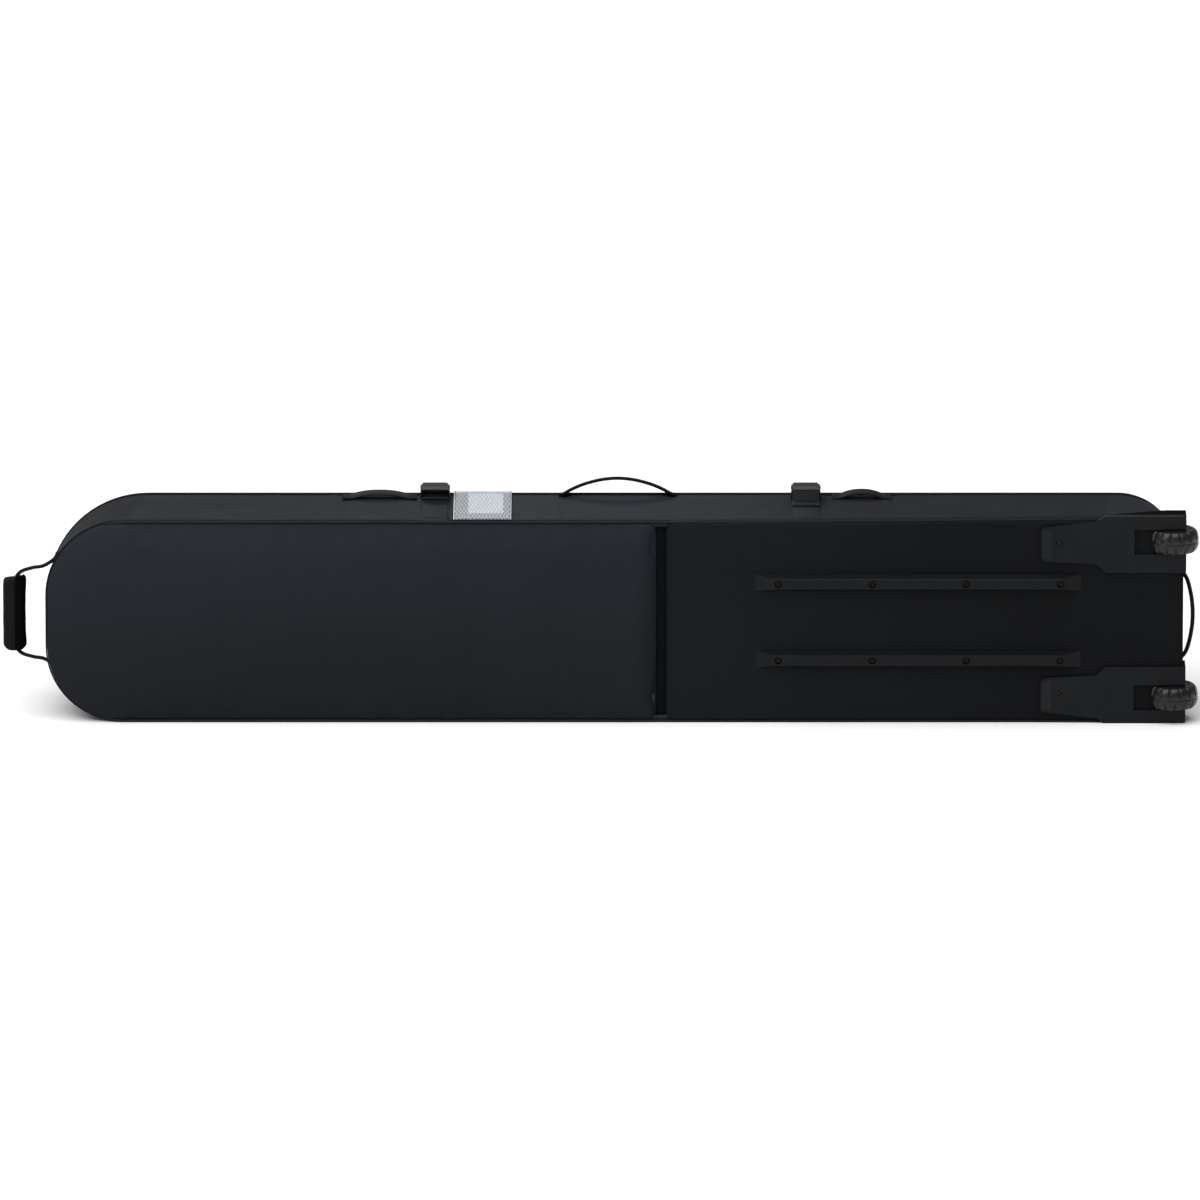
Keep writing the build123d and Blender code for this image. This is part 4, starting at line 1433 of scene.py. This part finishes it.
def make_buckle(n):
    socket_low, socket_high = low(f"strap_{n}_socket"), high(f"strap_{n}_socket")
    plug_high = high(f"strap_{n}_plug")
    x = (socket_low.x + socket_high.x) / 2
    half = (socket_high.x - socket_low.x) / 2
    y0, y1, y2 = socket_low.y, socket_high.y, plug_high.y
    z0, z1 = socket_low.z, socket_high.z

    socket = Parts()
    web = 2.0 * MM
    notch = 3.0 * MM
    right = [
        (half - 4 * MM, 0.0),
        (half - 0.6 * MM, 4 * MM),
        (half - 0.6 * MM, 9 * MM),
        (half - notch, 11 * MM),
        (half - notch, 15 * MM),
        (half, 17.5 * MM),
        (half, y1 - y0 - 3 * MM),
        (half - 3 * MM, y1 - y0),
    ]
    plate = [(x + u, y0 + v) for u, v in right] + [(x - u, y0 + v) for u, v in reversed(right)]
    plate = rounded(plate, 1.6 * MM)
    socket.slab(plate, flat_xy, z1 - web, z1, 0.8 * MM)
    for near, far, reach in ((0.4 * MM, 2.4 * MM, 5.0), (y1 - y0 - 2.6 * MM, y1 - y0 - 0.6 * MM, 4.4)):
        edge = half - reach * MM
        ridge = [(x - edge, y0 + near), (x + edge, y0 + near), (x + edge, y0 + far), (x - edge, y0 + far)]
        socket.slab(ridge, flat_xy, z1 - 0.4 * MM, z1 + 0.5 * MM, 0.3 * MM)
    lower_plate = [(px, max(py, y0 + 8 * MM)) for px, py in plate]
    lower_plate = [p for i, p in enumerate(lower_plate) if p != lower_plate[i - 1]]
    socket.slab(lower_plate, flat_xy, z0, z0 + web)
    back = [(x - half + 1 * MM, y0 + 8 * MM), (x + half - 1 * MM, y0 + 8 * MM)]
    back += [(x + half - 1 * MM, y0 + 9 * MM), (x - half + 1 * MM, y0 + 9 * MM)]
    socket.slab(back, flat_xy, z0, z1 - 1 * MM)
    for side in (-1, 1):
        post_x = x + side * (half - 3 * MM)
        post = [(post_x - 1.7 * MM, y0 + 0.6 * MM), (post_x + 1.7 * MM, y0 + 0.6 * MM)]
        post += [(post_x + 1.7 * MM, y0 + 9 * MM), (post_x - 1.7 * MM, y0 + 9 * MM)]
        socket.slab(rounded(post, 0.8 * MM), flat_xy, z0 + 0.6 * MM, z1 - 1 * MM)
    ends = [(x + side * (half - 2 * MM), y0 + 1.8 * MM, z0 + 2.0 * MM) for side in (-1, 1)]
    socket.grid(bar_rows(*ends, (0, 0, 1), 2.0 * MM, 1.8 * MM, (0, 1, 0)), closed_columns=True, caps=True)
    socket.make(f"buckle_{n}_socket", "buckle_plastic", "bag", [f"strap_{n}_socket"], 0.55 * MM)

    plug = Parts()
    start = y1 + 0.5 * MM
    body = [
        (x - half + 1 * MM, start),
        (x + half - 1 * MM, start),
        (x + half, start + 3 * MM),
        (x + half - 3.2 * MM, start + 9.5 * MM),
        (x - half + 3.2 * MM, start + 9.5 * MM),
        (x - half, start + 3 * MM),
    ]
    plug.slab(rounded(body, 1.5 * MM), flat_xy, z0 + 0.3 * MM, z1 - 0.3 * MM, 1.0 * MM)
    guide = [
        (x - 4 * MM, y1 - 18 * MM), (x + 4 * MM, y1 - 18 * MM), (x + 4 * MM, start + 2 * MM),
        (x - 4 * MM, start + 2 * MM)
    ]
    plug.slab(rounded(guide, 1.5 * MM), flat_xy, (z0 + z1) / 2 - 4 * MM, (z0 + z1) / 2 + 4 * MM)
    for side in (-1, 1):
        post_x = x + side * (half - 5.0 * MM)
        post = [(post_x - 1.6 * MM, start + 8 * MM), (post_x + 1.6 * MM, start + 8 * MM)]
        post += [(post_x + 1.0 * MM, y2 - 0.6 * MM), (post_x - 1.6 * MM, y2 - 0.6 * MM)]
        plug.slab(rounded(post, 0.8 * MM), flat_xy, z0 + 0.6 * MM, z1 - 0.6 * MM)
    for z, deep in ((z0 + 3 * MM, 2.2 * MM), (z1 - 2.2 * MM, 2.0 * MM)):
        ends = [(x + side * (half - 5.4 * MM), y2 - 1.9 * MM, z) for side in (-1, 1)]
        plug.grid(bar_rows(*ends, (0, 0, 1), 1.8 * MM, deep, (0, 1, 0)), closed_columns=True, caps=True)
    plug.make(f"buckle_{n}_plug", "buckle_plastic", f"plug_{n}", [f"strap_{n}_plug"], 0.55 * MM)


def box_stitch(corners):
    """Lines of a sewn rectangle with a cross in it. corners are four points in order."""
    a, b, c, d = (Vector(p) for p in corners)
    return [[a, b], [b, c], [c, d], [d, a], [a, c], [b, d]]


def make_straps():
    up = Vector((0, 0, 1))
    for n in (1, 2):
        x = (low(f"strap_{n}_webbing").x + high(f"strap_{n}_webbing").x) / 2
        width = high(f"strap_{n}_webbing").x - low(f"strap_{n}_webbing").x
        y0, y1 = low(f"strap_{n}_webbing").y, low(f"strap_{n}_socket").y
        points = [
            (x, y0 + 0.5 * MM, WIDTH - 0.6 * MM),
            (x, y0 + 14 * MM, WIDTH + 0.2 * MM),
            (x, y0 + 50 * MM, WIDTH + 0.6 * MM),
            (x, y1 - 30 * MM, WIDTH + 0.9 * MM),
        ]
        under = [(-8, 1.0), (1.5, 1.5), (5.0, 3.6), (6.4, 7.0), (6.8, 9.4)]
        over = [(-14, 1.2), (-6, 4.5), (-2.4, 8.5), (0.4, 12.6), (3.4, 14.0), (5.4, 12.0), (6.2, 7.0)]
        points += [(x, y1 + dy * MM, WIDTH + dz * MM) for dy, dz in (over if n == 2 else under)]
        path = smooth_path(points, 6)
        strip(f"strap_{n}_band", path, width, 1.9 * MM, Vector((1, 0, 0)))
        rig.replaces(bpy.data.objects[f"strap_{n}_band"], f"strap_{n}_webbing")
        edge = width / 2 - 3 * MM
        seam = [
            [(x - edge, y0 + dy, WIDTH + 1.15 * MM), (x + edge, y0 + dy, WIDTH + 1.15 * MM)]
            for dy in (0.012, 0.0165)
        ]
        if n == 2:
            fold = [
                (-40, 2.6), (-28, 3.0), (-14, 3.6), (-7.5, 6.6), (-4.2, 10.4), (-0.6, 14.8),
                (3.4, 16.0), (6.6, 13.0)
            ]
            fold_path = smooth_path([(x, y1 + dy * MM, WIDTH + dz * MM) for dy, dz in fold], 6)
            strip(f"strap_{n}_fold", fold_path, width + 1.6 * MM, 1.8 * MM, Vector((1, 0, 0)))
            for row in (-37, -33, -17):
                rise = 3.9 * MM if row < -20 else 4.5 * MM
                seam.append(
                    [(x - edge, y1 + row * MM, WIDTH + rise), (x + edge, y1 + row * MM, WIDTH + rise)]
                )
        stitches(f"strap_{n}_stitches", seam, up)

        tail = f"strap_{n}_tail"
        tail_low, tail_high = low(tail), high(tail)
        front = tail_high.y - 1.0 * MM
        top_z = tail_high.z
        path = smooth_path(
            [
                (x, tail_low.y - 9 * MM, top_z - 1.0 * MM),
                (x, tail_low.y - 7.6 * MM, top_z + 4.5 * MM),
                (x, tail_low.y - 2 * MM, top_z + 8.4 * MM),
                (x, tail_low.y + 1.2 * MM, top_z + 5.0 * MM),
                (x, tail_low.y + 3.0 * MM, top_z + 0.6 * MM),
                (x, front - 2.0 * MM, top_z - 2.0 * MM),
                (x, front, top_z - 6.0 * MM),
                (x, front, tail_low.z + 12 * MM),
                (x, front - 0.2 * MM, tail_low.z + 1 * MM),
            ],
            7,
        )
        piece = strip(f"strap_{n}_free_end", path, width, 1.9 * MM, Vector((1, 0, 0)), body=f"plug_{n}")
        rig.replaces(piece, tail)
        hem = [
            [(x - edge, front + 1.0 * MM, tail_low.z + dz), (x + edge, front + 1.0 * MM, tail_low.z + dz)]
            for dz in (0.003, 0.009)
        ]
        stitches(f"strap_{n}_hem", hem, Vector((0, 1, 0)), body=f"plug_{n}")


SIDE_ON = Vector((0, 0.97, -0.24))


def arch_strip(
    name, points, width, thick, body, nodes, across=SIDE_ON, material="handle_webbing", lean_on=None
):
    """A strip of webbing along an arch, with edge stitching. lean_on gives the two ends of a blend."""
    path = smooth_path(points, 8)
    piece = strip(name, path, width, thick, across, material, body, "webbing")
    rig.replaces(piece, *nodes)
    lines = []
    for edge in (-1, 1):
        for face in (-1, 1):
            lines.append(
                offset_path(path, across, edge * (width / 2 - 2.5 * MM), face * (thick / 2 + 0.1 * MM))
            )
    thread = stitches(f"{name}_stitch", lines, lambda p: Vector((0, 0.2, 1)), body=body)
    if lean_on:
        for item in (piece, thread):
            del item["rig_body"]
            item.parent = None
            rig.blend(item, "bag", body, start=lean_on[0], end=lean_on[1])
    return piece


def offset_path(path, across, shift, lift):
    out = []
    for p, tangent in tangents_along(path):
        normal = across.cross(tangent).normalized()
        out.append(p + across * shift + normal * lift)
    return out


def arc_points(a, b, base, top, place, shape=(0.0, 0.3, 0.62, 0.9, 1.0)):
    """Points of an arch from a to b: place(u, height) makes each point, and shape lists rising shares of the height."""
    reach = (b - a) / 2
    along = (1.0, 0.84, 0.62, 0.31, 0.0)
    left = [(a + reach * (1 - u), base + (top - base) * h) for u, h in zip(along, shape)]
    right = [(b - reach * (1 - u), base + (top - base) * h) for u, h in zip(along[:-1], shape[:-1])]
    return [place(*point) for point in left + right[::-1]]


def make_handles():
    box_low, box_high = low("carry_handle"), high("carry_handle")
    y = (box_low.y + box_high.y) / 2 + 4 * MM
    width = 0.7 * (box_high.y - box_low.y)
    a, b = box_low.x + 2 * MM, box_high.x - 1 * MM
    points = arc_points(a, b, WIDTH + 1.5 * MM, box_high.z - 0.5 * MM, lambda x, z: (x, y, z))
    points = [(a - 7 * MM, y, WIDTH + 0.3 * MM)] + points + [(b + 7 * MM, y, WIDTH + 0.3 * MM)]
    middle = (a + b) / 2
    ends = ((middle, y, WIDTH + 1.5 * MM), (middle, y, WIDTH + 7 * MM))
    arch_strip("carry_handle_band", points, width, 4.4 * MM, "carry_handle", ["carry_handle"], lean_on=ends)

    for name, piece_name, thick in (
        ("nose_loop", "nose_tab_loop", 1.8 * MM), ("tail_loop", "tail_tab_loop", 2.2 * MM)
    ):
        box_low, box_high = low(name), high(name)
        y = (box_low.y + box_high.y) / 2
        width = box_high.y - box_low.y
        a, b = box_low.x, box_high.x
        shape = (0.0, 0.12, 0.55, 0.9, 1.0)
        points = arc_points(a, b, WIDTH + 0.9 * MM, box_high.z - 1.3 * MM, lambda x, z: (x, y, z), shape)
        points = [(a - 8 * MM, y, WIDTH + 0.6 * MM)] + points + [(b + 8 * MM, y, WIDTH + 0.6 * MM)]
        material = "webbing" if name == "nose_loop" else "handle_webbing"
        arch_strip(piece_name, points, width, thick, "bag", [name], Vector((0, 1, 0)), material)
        tabs = []
        for x in (a - 2.5 * MM, b + 2.5 * MM):
            e, f, z = 4 * MM, width / 2 - 3 * MM, WIDTH + 2.0 * MM
            tabs += box_stitch([(x - e, y - f, z), (x + e, y - f, z), (x + e, y + f, z), (x - e, y + f, z)])
        stitches(f"{piece_name}_tacks", tabs, Vector((0, 0, 1)))

    box_low, box_high = low("tail_handle"), high("tail_handle")
    y, width = (box_low.y + box_high.y) / 2, 0.8 * (box_high.y - box_low.y)
    z0, z1 = box_low.z, box_high.z
    root_x, out_x = TAIL_X - 4.2 * MM, box_high.x - 1.7 * MM
    points = arc_points(
        z0, z1, root_x + 1 * MM, out_x, lambda z, x: (x, y, z), (0.0, 0.45, 0.72, 0.93, 1.0)
    )
    points = [(root_x - 1 * MM, y, z0 - 3 * MM)] + points + [(root_x - 1 * MM, y, z1 + 3 * MM)]
    ends = ((TAIL_X - 2 * MM, y, MID_Z), (TAIL_X + 3 * MM, y, MID_Z))
    arch_strip("tail_handle_band", points, width, 5.0 * MM, "tail_handle", ["tail_handle"], lean_on=ends)


def nose_surface_x(y, z):
    """X of the nose end's cloth at this depth and height."""
    t = (y - BACK_SEAM_Y) / (FRONT_SEAM_Y - BACK_SEAM_Y)
    ring = [gusset_point(k, t) for k in range(NOSE_SPAN[0], NOSE_SPAN[1] + 1)]
    for a, b in zip(ring, ring[1:]):
        if a.z <= z <= b.z:
            return a.x + (b.x - a.x) * (z - a.z) / max(b.z - a.z, 1e-9)
    return NOSE_X


def make_haul_handle():
    web_low, web_high = low("haul_handle_webbing"), high("haul_handle_webbing")
    grip_low, grip_high = low("haul_handle_grip"), high("haul_handle_grip")
    y = (web_low.y + web_high.y) / 2
    width = web_high.y - web_low.y
    bar_x = (grip_low.x + grip_high.x) / 2
    z0, z1 = web_low.z, web_high.z
    half_path = []
    for rise in (-14, -4):
        half_path.append((nose_surface_x(y, z0 + rise * MM) - 1.4 * MM, rise))
    half_path += [
        (NOSE_X - 4 * MM, 6), (NOSE_X - 20 * MM, 9), (bar_x + 9 * MM, 15), (bar_x + 1 * MM, 27),
        (bar_x, 45)
    ]
    points = [(x, y, z0 + rise * MM) for x, rise in half_path]
    points += [(bar_x, y, (z0 + z1) / 2)]
    points += [(x, y, z1 - rise * MM) for x, rise in reversed(half_path)]
    ends = ((NOSE_X, y, MID_Z), (NOSE_X - 9 * MM, y, MID_Z))
    arch_strip(
        "haul_band", points, 0.8 * width, 4.6 * MM, "haul_handle", ["haul_handle_webbing"],
        lean_on=ends
    )

    half_x, half_y = (grip_high.x - grip_low.x) / 2, (grip_high.y - grip_low.y) / 2
    centre_y = (grip_low.y + grip_high.y) / 2
    rows = []
    steps, sides = 44, 56
    for k in range(steps + 1):
        t = k / steps
        row = []
        for m in range(sides):
            q = 2 * math.pi * m / sides
            c, s_ = math.cos(q), math.sin(q)
            power = 0.55
            u = math.copysign(abs(c) ** power, c) * half_x
            v = math.copysign(abs(s_) ** power, s_) * half_y
            waist = 1 - 0.09 * math.sin(math.pi * t) * (0.5 + 0.5 * c)
            swell = 1 - 0.10 * (1 - ease_round(min(t, 1 - t), 0.06))
            ripple = 1 + 0.018 * noise.noise(Vector((c * 2, s_ * 2, t * 6)))
            z = grip_low.z + (grip_high.z - grip_low.z) * t
            z += (2.0 * MM * math.sin(1.5 * q + 0.7) + 0.8 * MM * math.sin(3 * q)) * (2 * t - 1)
            x = bar_x + u * waist * swell * ripple
            row.append(Vector((x, centre_y + v * swell * ripple, z)))
        rows.append(row)
    inner_rows = []
    for t_edge in (0, 1):
        ring = rows[0] if t_edge == 0 else rows[-1]
        inward = 1 if t_edge == 0 else -1
        shrunk = []
        for p in ring:
            d = Vector((p.x - bar_x, p.y - centre_y, 0))
            shrunk.append(Vector((bar_x, centre_y, p.z)) + d * 0.42 + Vector((0, 0, inward * 4 * MM)))
        inner_rows.append(shrunk)
    rows = [inner_rows[0]] + rows + [inner_rows[1]]
    verts, faces, uvs = grid(rows, closed_columns=True)
    piece = add(
        "haul_grip_wrap", verts, faces, "grip_pad", "haul_handle", "grip_pad", uvs,
        second="grip_dark"
    )
    recalc(piece)
    # The half of the grip towards the bag takes the near-black grip cloth: painted shade.
    for face in piece.data.polygons:
        if face.center.x > bar_x - 1.5 * MM:
            face.material_index = 1
    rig.replaces(piece, "haul_handle_grip")
    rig.padded(piece, fill=0.8)
    lines = []
    for column in (int(sides * 0.25) + 1, int(sides * 0.75) - 1):
        lines.append([rows[1 + k][column] + Vector((-0.4 * MM, 0, 0)) for k in range(3, steps)])
    stitches("haul_grip_stitch", lines, Vector((0, -1, 0)), body="haul_handle")


def make_window():
    film_low, film_high = low("window_film"), high("window_film")
    x0, x1, y0, y1, z = film_low.x, film_high.x, film_low.y, film_high.y, film_high.z
    border, far_border = 2.6 * MM, 12 * MM
    xs = [x0 + (x1 - x0) * k / 34 for k in range(35)]
    ys = [y0 + (y1 - y0) * k / 48 for k in range(49)]
    rows = []
    for y in ys:
        row = []
        for x in xs:
            edge = min(x - x0, x1 - x, y - y0)
            rise = 0.5 * MM * smooth_step(edge / 0.02) + wrinkle(
                (x, y, 0), 18, 0.35 * MM
            ) * smooth_step(edge / 0.015)
            row.append(Vector((x, y, z + rise)))
        rows.append(row)
    verts, faces, uvs = grid(rows)
    piece = add(
        "window_sheet", verts, faces, "window_film", "bag", "window_film", uvs, second="film_border"
    )
    if piece.data.polygons[0].normal.z < 0:
        piece.data.flip_normals()
    for face in piece.data.polygons:
        c = face.center
        if min(c.x - x0, x1 - c.x) < border or y1 - c.y < far_border:
            face.material_index = 1
    thicken(piece, 0.5 * MM, 0)
    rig.replaces(piece, "window_film")
    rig.sheet(piece, flat=(x1 - x0, y1 - y0), held="stretched", rests_on=["window_frame"])

    binding = Parts()
    w, top, base = 5 * MM, z - 0.6 * MM, WIDTH - 1.0 * MM
    for a, b in (((x0, y0), (x1, y0 + w)), ((x0, y0 + w), (x0 + w, y1)), ((x1 - w, y0 + w), (x1, y1))):
        corners = [(a[0], a[1]), (b[0], a[1]), (b[0], b[1]), (a[0], b[1])]
        binding.slab(corners, flat_xy, base, top)
    binding.make("window_frame", "piping", "bag", ["window_binding"], 0.3 * MM)
    e = 2.0 * MM
    line = [(x0 + e, y1 - 3 * MM, 0), (x0 + e, y0 + e, 0), (x1 - e, y0 + e, 0), (x1 - e, y1 - 3 * MM, 0)]
    line = [Vector((p[0], p[1], z + 0.25 * MM)) for p in line]
    stitches("window_stitch", [line], Vector((0, 0, 1)))


def chain_points(inset):
    """The zipper's line round the nose, from the lower tail end to the upper one."""
    ring = outline(inset)
    out = [(PARK_X, inset, 0.0, -1.0)]
    out += [p for p in ring[: UPPER_SPAN[1]] if p[0] < PARK_X - 6 * MM]
    out.append((PARK_X, WIDTH - inset, 0.0, 1.0))
    return out


def make_zipper():
    y = TAPE_Y
    for name, outer, inner, body, node in (
        ("body_tape", TAPE_INSET, CHAIN_INSET - 0.6 * MM, "bag", "zipper_tape_body"),
        ("lid_tape", CHAIN_INSET + 0.6 * MM, LID_INSET + 2 * MM, "lid", "zipper_tape_lid"),
    ):
        a, b = chain_points(outer), chain_points(inner)
        if body == "lid":
            a = [p for p in a if p[0] < HINGE_X]
            b = [p for p in b if p[0] < HINGE_X]
            a = [(HINGE_X, a[0][1], 0, -1)] + a + [(HINGE_X, a[-1][1], 0, 1)]
            b = [(HINGE_X, b[0][1], 0, -1)] + b + [(HINGE_X, b[-1][1], 0, 1)]
        count = min(len(a), len(b))
        rows = []
        for k in range(count):
            p, q = a[k], b[k]
            row = []
            for j in range(5):
                t = j / 4
                x, z = p[0] + (q[0] - p[0]) * t, p[1] + (q[1] - p[1]) * t
                row.append(Vector((x, y - 0.4 * MM + wrinkle((x, 0, z), 40, 0.25 * MM), z)))
            rows.append(row)
        verts, faces, uvs = grid(rows)
        piece = add(name, verts, faces, "zipper", body, "zipper", uvs, second="zipper")
        if piece.data.polygons[0].normal.y < 0:
            piece.data.flip_normals()
        thicken(piece, 0.9 * MM)
        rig.replaces(piece, node)
    for name, inset, body, shift in (
        ("body_teeth", CHAIN_INSET - 1.4 * MM, "bag", 0.0),
        ("lid_teeth", CHAIN_INSET + 1.4 * MM, "lid", 1.3 * MM)
    ):
        line = [Vector((p[0], y - 0.75 * MM, p[1])) for p in chain_points(inset)]
        if body == "lid":
            line = [p for p in line if p.x < HINGE_X - 1 * MM]
        parts = Parts()
        for p, tangent in resample(line, 2.6 * MM):
            inward = tangent.cross(Vector((0, 1, 0))).normalized()
            p = p + tangent * shift
            corners = []
            for u, v in ((-0.75, -0.9), (0.75, -0.9), (0.75, 0.9), (-0.75, 0.9)):
                corners.append((u * MM, v * MM))

            def place(u, v, t, p=p, tangent=tangent, inward=inward):
                return p + tangent * u + inward * v + Vector((0, t, 0))

            parts.slab(corners, place, -0.9 * MM, 0.9 * MM, 0.25 * MM)
        parts.make(name, "zipper_teeth", body, round_width=0, slot="zipper")


def make_wheel(side):
    tread_low, tread_high = low(f"wheel_tread_{side}"), high(f"wheel_tread_{side}")
    centre = (tread_low + tread_high) / 2
    radius, width = (tread_high.x - tread_low.x) / 2, tread_high.z - tread_low.z
    inner = (high(f"wheel_hub_{side}").x - low(f"wheel_hub_{side}").x) / 2
    lugs, per = 15, 12
    profile = [
        (-0.5, 0.70), (-0.5, 0.80), (-0.47, 0.86), (-0.40, 0.915), (-0.31, 0.955), (-0.2, 0.982),
        (-0.06, 0.998)
    ]
    profile += [(-0.035, 0.965), (0.035, 0.965)] + [(-a, b) for a, b in reversed(profile)]
    rows = []
    for k in range(lugs * per):
        row = []
        for w, r in profile:
            shift = 0.5 if w > 0 else 0.0
            phase = (k / per + shift + abs(w) * 0.3) % 1.0
            groove = 1 - smooth_step(abs(phase - 0.5) / 0.10 - 0.35)
            deep = 3.0 * MM * groove * smooth_step((r - 0.80) / 0.06) * smooth_step((abs(w) - 0.07) / 0.08)
            q = 2 * math.pi * k / (lugs * per)
            rad = radius * r - deep
            row.append(centre + Vector((rad * math.cos(q), rad * math.sin(q), width * w)))
        rows.append(row)
    verts, faces, uvs = grid(rows, closed_rows=True)
    count = len(profile)
    total = lugs * per
    base = len(verts)
    for end in (0, count - 1):
        for k in range(total):
            q = 2 * math.pi * k / total
            z = width * (-0.5 if end == 0 else 0.5)
            verts.append(centre + Vector((inner * 0.985 * math.cos(q), inner * 0.985 * math.sin(q), z)))
            uvs.append((q * 0.03, 0.0))
    for e, end in enumerate((0, count - 1)):
        for k in range(total):
            n = (k + 1) % total
            face = (k * count + end, n * count + end, base + e * total + n, base + e * total + k)
            faces.append(face if e else tuple(reversed(face)))
    for k in range(total):
        n = (k + 1) % total
        faces.append((base + k, base + n, base + total + n, base + total + k))
    piece = add(f"wheel_tyre_{side}", verts, faces, "wheel_rubber", f"wheel_{side}", None, uvs)
    recalc(piece)
    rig.replaces(piece, f"wheel_tread_{side}")
    crisp = piece.modifiers.new("flat_normals", "WEIGHTED_NORMAL")
    crisp.keep_sharp = True


def make_inside():
    y = low("tie_down_straps").y + 1 * MM
    strap_low, strap_high = low("tie_down_straps"), high("tie_down_straps")
    for x in (strap_low.x + 19 * MM, strap_high.x - 19 * MM):
        label = "nose" if x < 0 else "base"
        steps = 18
        path = []
        for k in range(steps + 1):
            z = strap_low.z + (strap_high.z - strap_low.z) * k / steps
            path.append(
                (x, y + 0.8 * MM * math.sin(math.pi * k / steps) + 0.3 * MM * math.sin(7 * k / steps), z)
            )
        piece = strip(f"tie_down_{label}", path, 38 * MM, 1.8 * MM, Vector((1, 0, 0)))
        if label == "nose":
            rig.replaces(piece, "tie_down_straps")
        lines = []
        for z in (strap_low.z + 9 * MM, strap_high.z - 9 * MM):
            e = 15 * MM
            lines += box_stitch(
                [
                    (x - e, y + 1.3 * MM, z - 6 * MM), (x + e, y + 1.3 * MM, z - 6 * MM),
                    (x + e, y + 1.3 * MM, z + 6 * MM), (x - e, y + 1.3 * MM, z + 6 * MM)
                ]
            )
        stitches(f"tie_down_{label}_stitch", lines, Vector((0, 1, 0)))


def make_housing_ribs():
    """Low moulded ribs on the faces of the wheel housings, and the raised rim of each tongue, whose lighter plastic is
    a painted highlight.
    """
    for side in ("upper", "lower"):
        box_low, box_high = low(f"wheel_housing_{side}"), high(f"wheel_housing_{side}")
        face = box_low.y

        def place(u, v, t):
            return Vector((u, face - t, v))

        ribs = Parts()
        for rise, start in ((54, 718), (44, 727), (36, 724), (26, 716)):
            z = box_high.z - 84 * MM + rise * MM if side == "upper" else box_low.z + 84 * MM - rise * MM
            a, b, half = start * MM, 764 * MM, 1.6 * MM
            corners = [(a, z - half), (b, z - half), (b, z + half), (a, z + half)]
            ribs.slab(corners, place, -0.5 * MM, 0.45 * MM, 1.1 * MM)
        ribs.make(f"housing_ribs_{side}", "housing_plastic", "bag", round_width=0)
        flip = (lambda z: z) if side == "upper" else (lambda z: WIDTH + 8 * MM - z)
        # The tongue's rim takes the lighter housing plastic: painted highlight.
        bevel = Parts()
        corners = [
            (0.6395, flip(0.2475)), (0.6525, flip(0.2435)), (0.6525, flip(0.2895)),
            (0.6395, flip(0.2855))
        ]
        bevel.slab(rounded(corners, 2 * MM), place, -0.5 * MM, 0.5 * MM, 0.6 * MM)
        bevel.make(f"tongue_bevel_{side}", "tongue_bevel", "bag", round_width=0, slot="housing_plastic")


def make_screws():
    """Pan-head screws in the rails and the tongues: (node, centres in X and Z, depth of the head's seat)."""
    head = [
        (0.0, 1.4), (1.1, 1.4), (1.3, 1.1), (1.9, 1.1), (2.1, 2.5), (3.4, 2.8), (4.5, 2.2),
        (4.95, 1.0), (4.95, 0.0)
    ]
    rails = [(x * MM, z * MM) for x in (257, 393, 529, 665) for z in (95, 209)]
    for node, centres, rise in (
        ("rail_screws", rails, 3.0), ("housing_screws", [(0.664, 0.266), (0.664, 0.042)], 3.0)
    ):
        seat, end = low(node).y + rise * MM, high(node).y
        screws = Parts()
        for x, z in centres:
            profile = [(r * MM, seat - t * MM) for r, t in head] + [
                (2.45 * MM, seat), (2.45 * MM, end), (0.0, end)
            ]
            rows = []
            for k in range(24):
                q = 2 * math.pi * k / 24
                rows.append([Vector((x + r * math.cos(q), y, z + r * math.sin(q))) for r, y in profile])
            screws.grid(rows, closed_rows=True)
        bmesh.ops.remove_doubles(screws.bm, verts=screws.bm.verts, dist=0.01 * MM)
        screws.make(f"{node}_heads", "black_screw", "bag", [node], round_width=0)


make_camera()
make_studio()
make_shell()
make_edges()
make_front()
make_lid_hinge()
make_linings()
for number in (1, 2):
    make_buckle(number)
make_straps()
make_handles()
make_haul_handle()
make_window()
make_zipper()
for wheel_side in ("upper", "lower"):
    make_wheel(wheel_side)
make_inside()
make_housing_ribs()
make_screws()


# Bevels and materials on the CAD pieces that stay


def finish_cad(names, width, segments=2):
    """Rounds the small edges of CAD pieces, and gives each the finish of its material slot."""
    slots = {row["node"]: row["material_slot"] for row in frame["record"]["subparts"]}
    for name in names:
        node = frame["nodes"][name]
        node.data.materials.clear()
        node.data.materials.append(M[slots[name]])
        mod = node.modifiers.new("rounding", "BEVEL")
        mod.width = width
        mod.segments = segments
        mod.limit_method = "ANGLE"
        mod.angle_limit = math.radians(30)
        mod.harden_normals = False


replaced = {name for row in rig.table()["pieces"] for name in row.get("replaces", [])}
kept = [name for name in frame["nodes"] if name not in replaced]
finish_cad(kept, 0.8 * MM)


cad_low, cad_high = CAD_BOUNDS
new_low, new_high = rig.bounds()
sizes = {"cad": [list(cad_low), list(cad_high)], "visual": [list(new_low), list(new_high)]}
with open("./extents.json", "w") as out_file:
    json.dump(sizes, out_file)
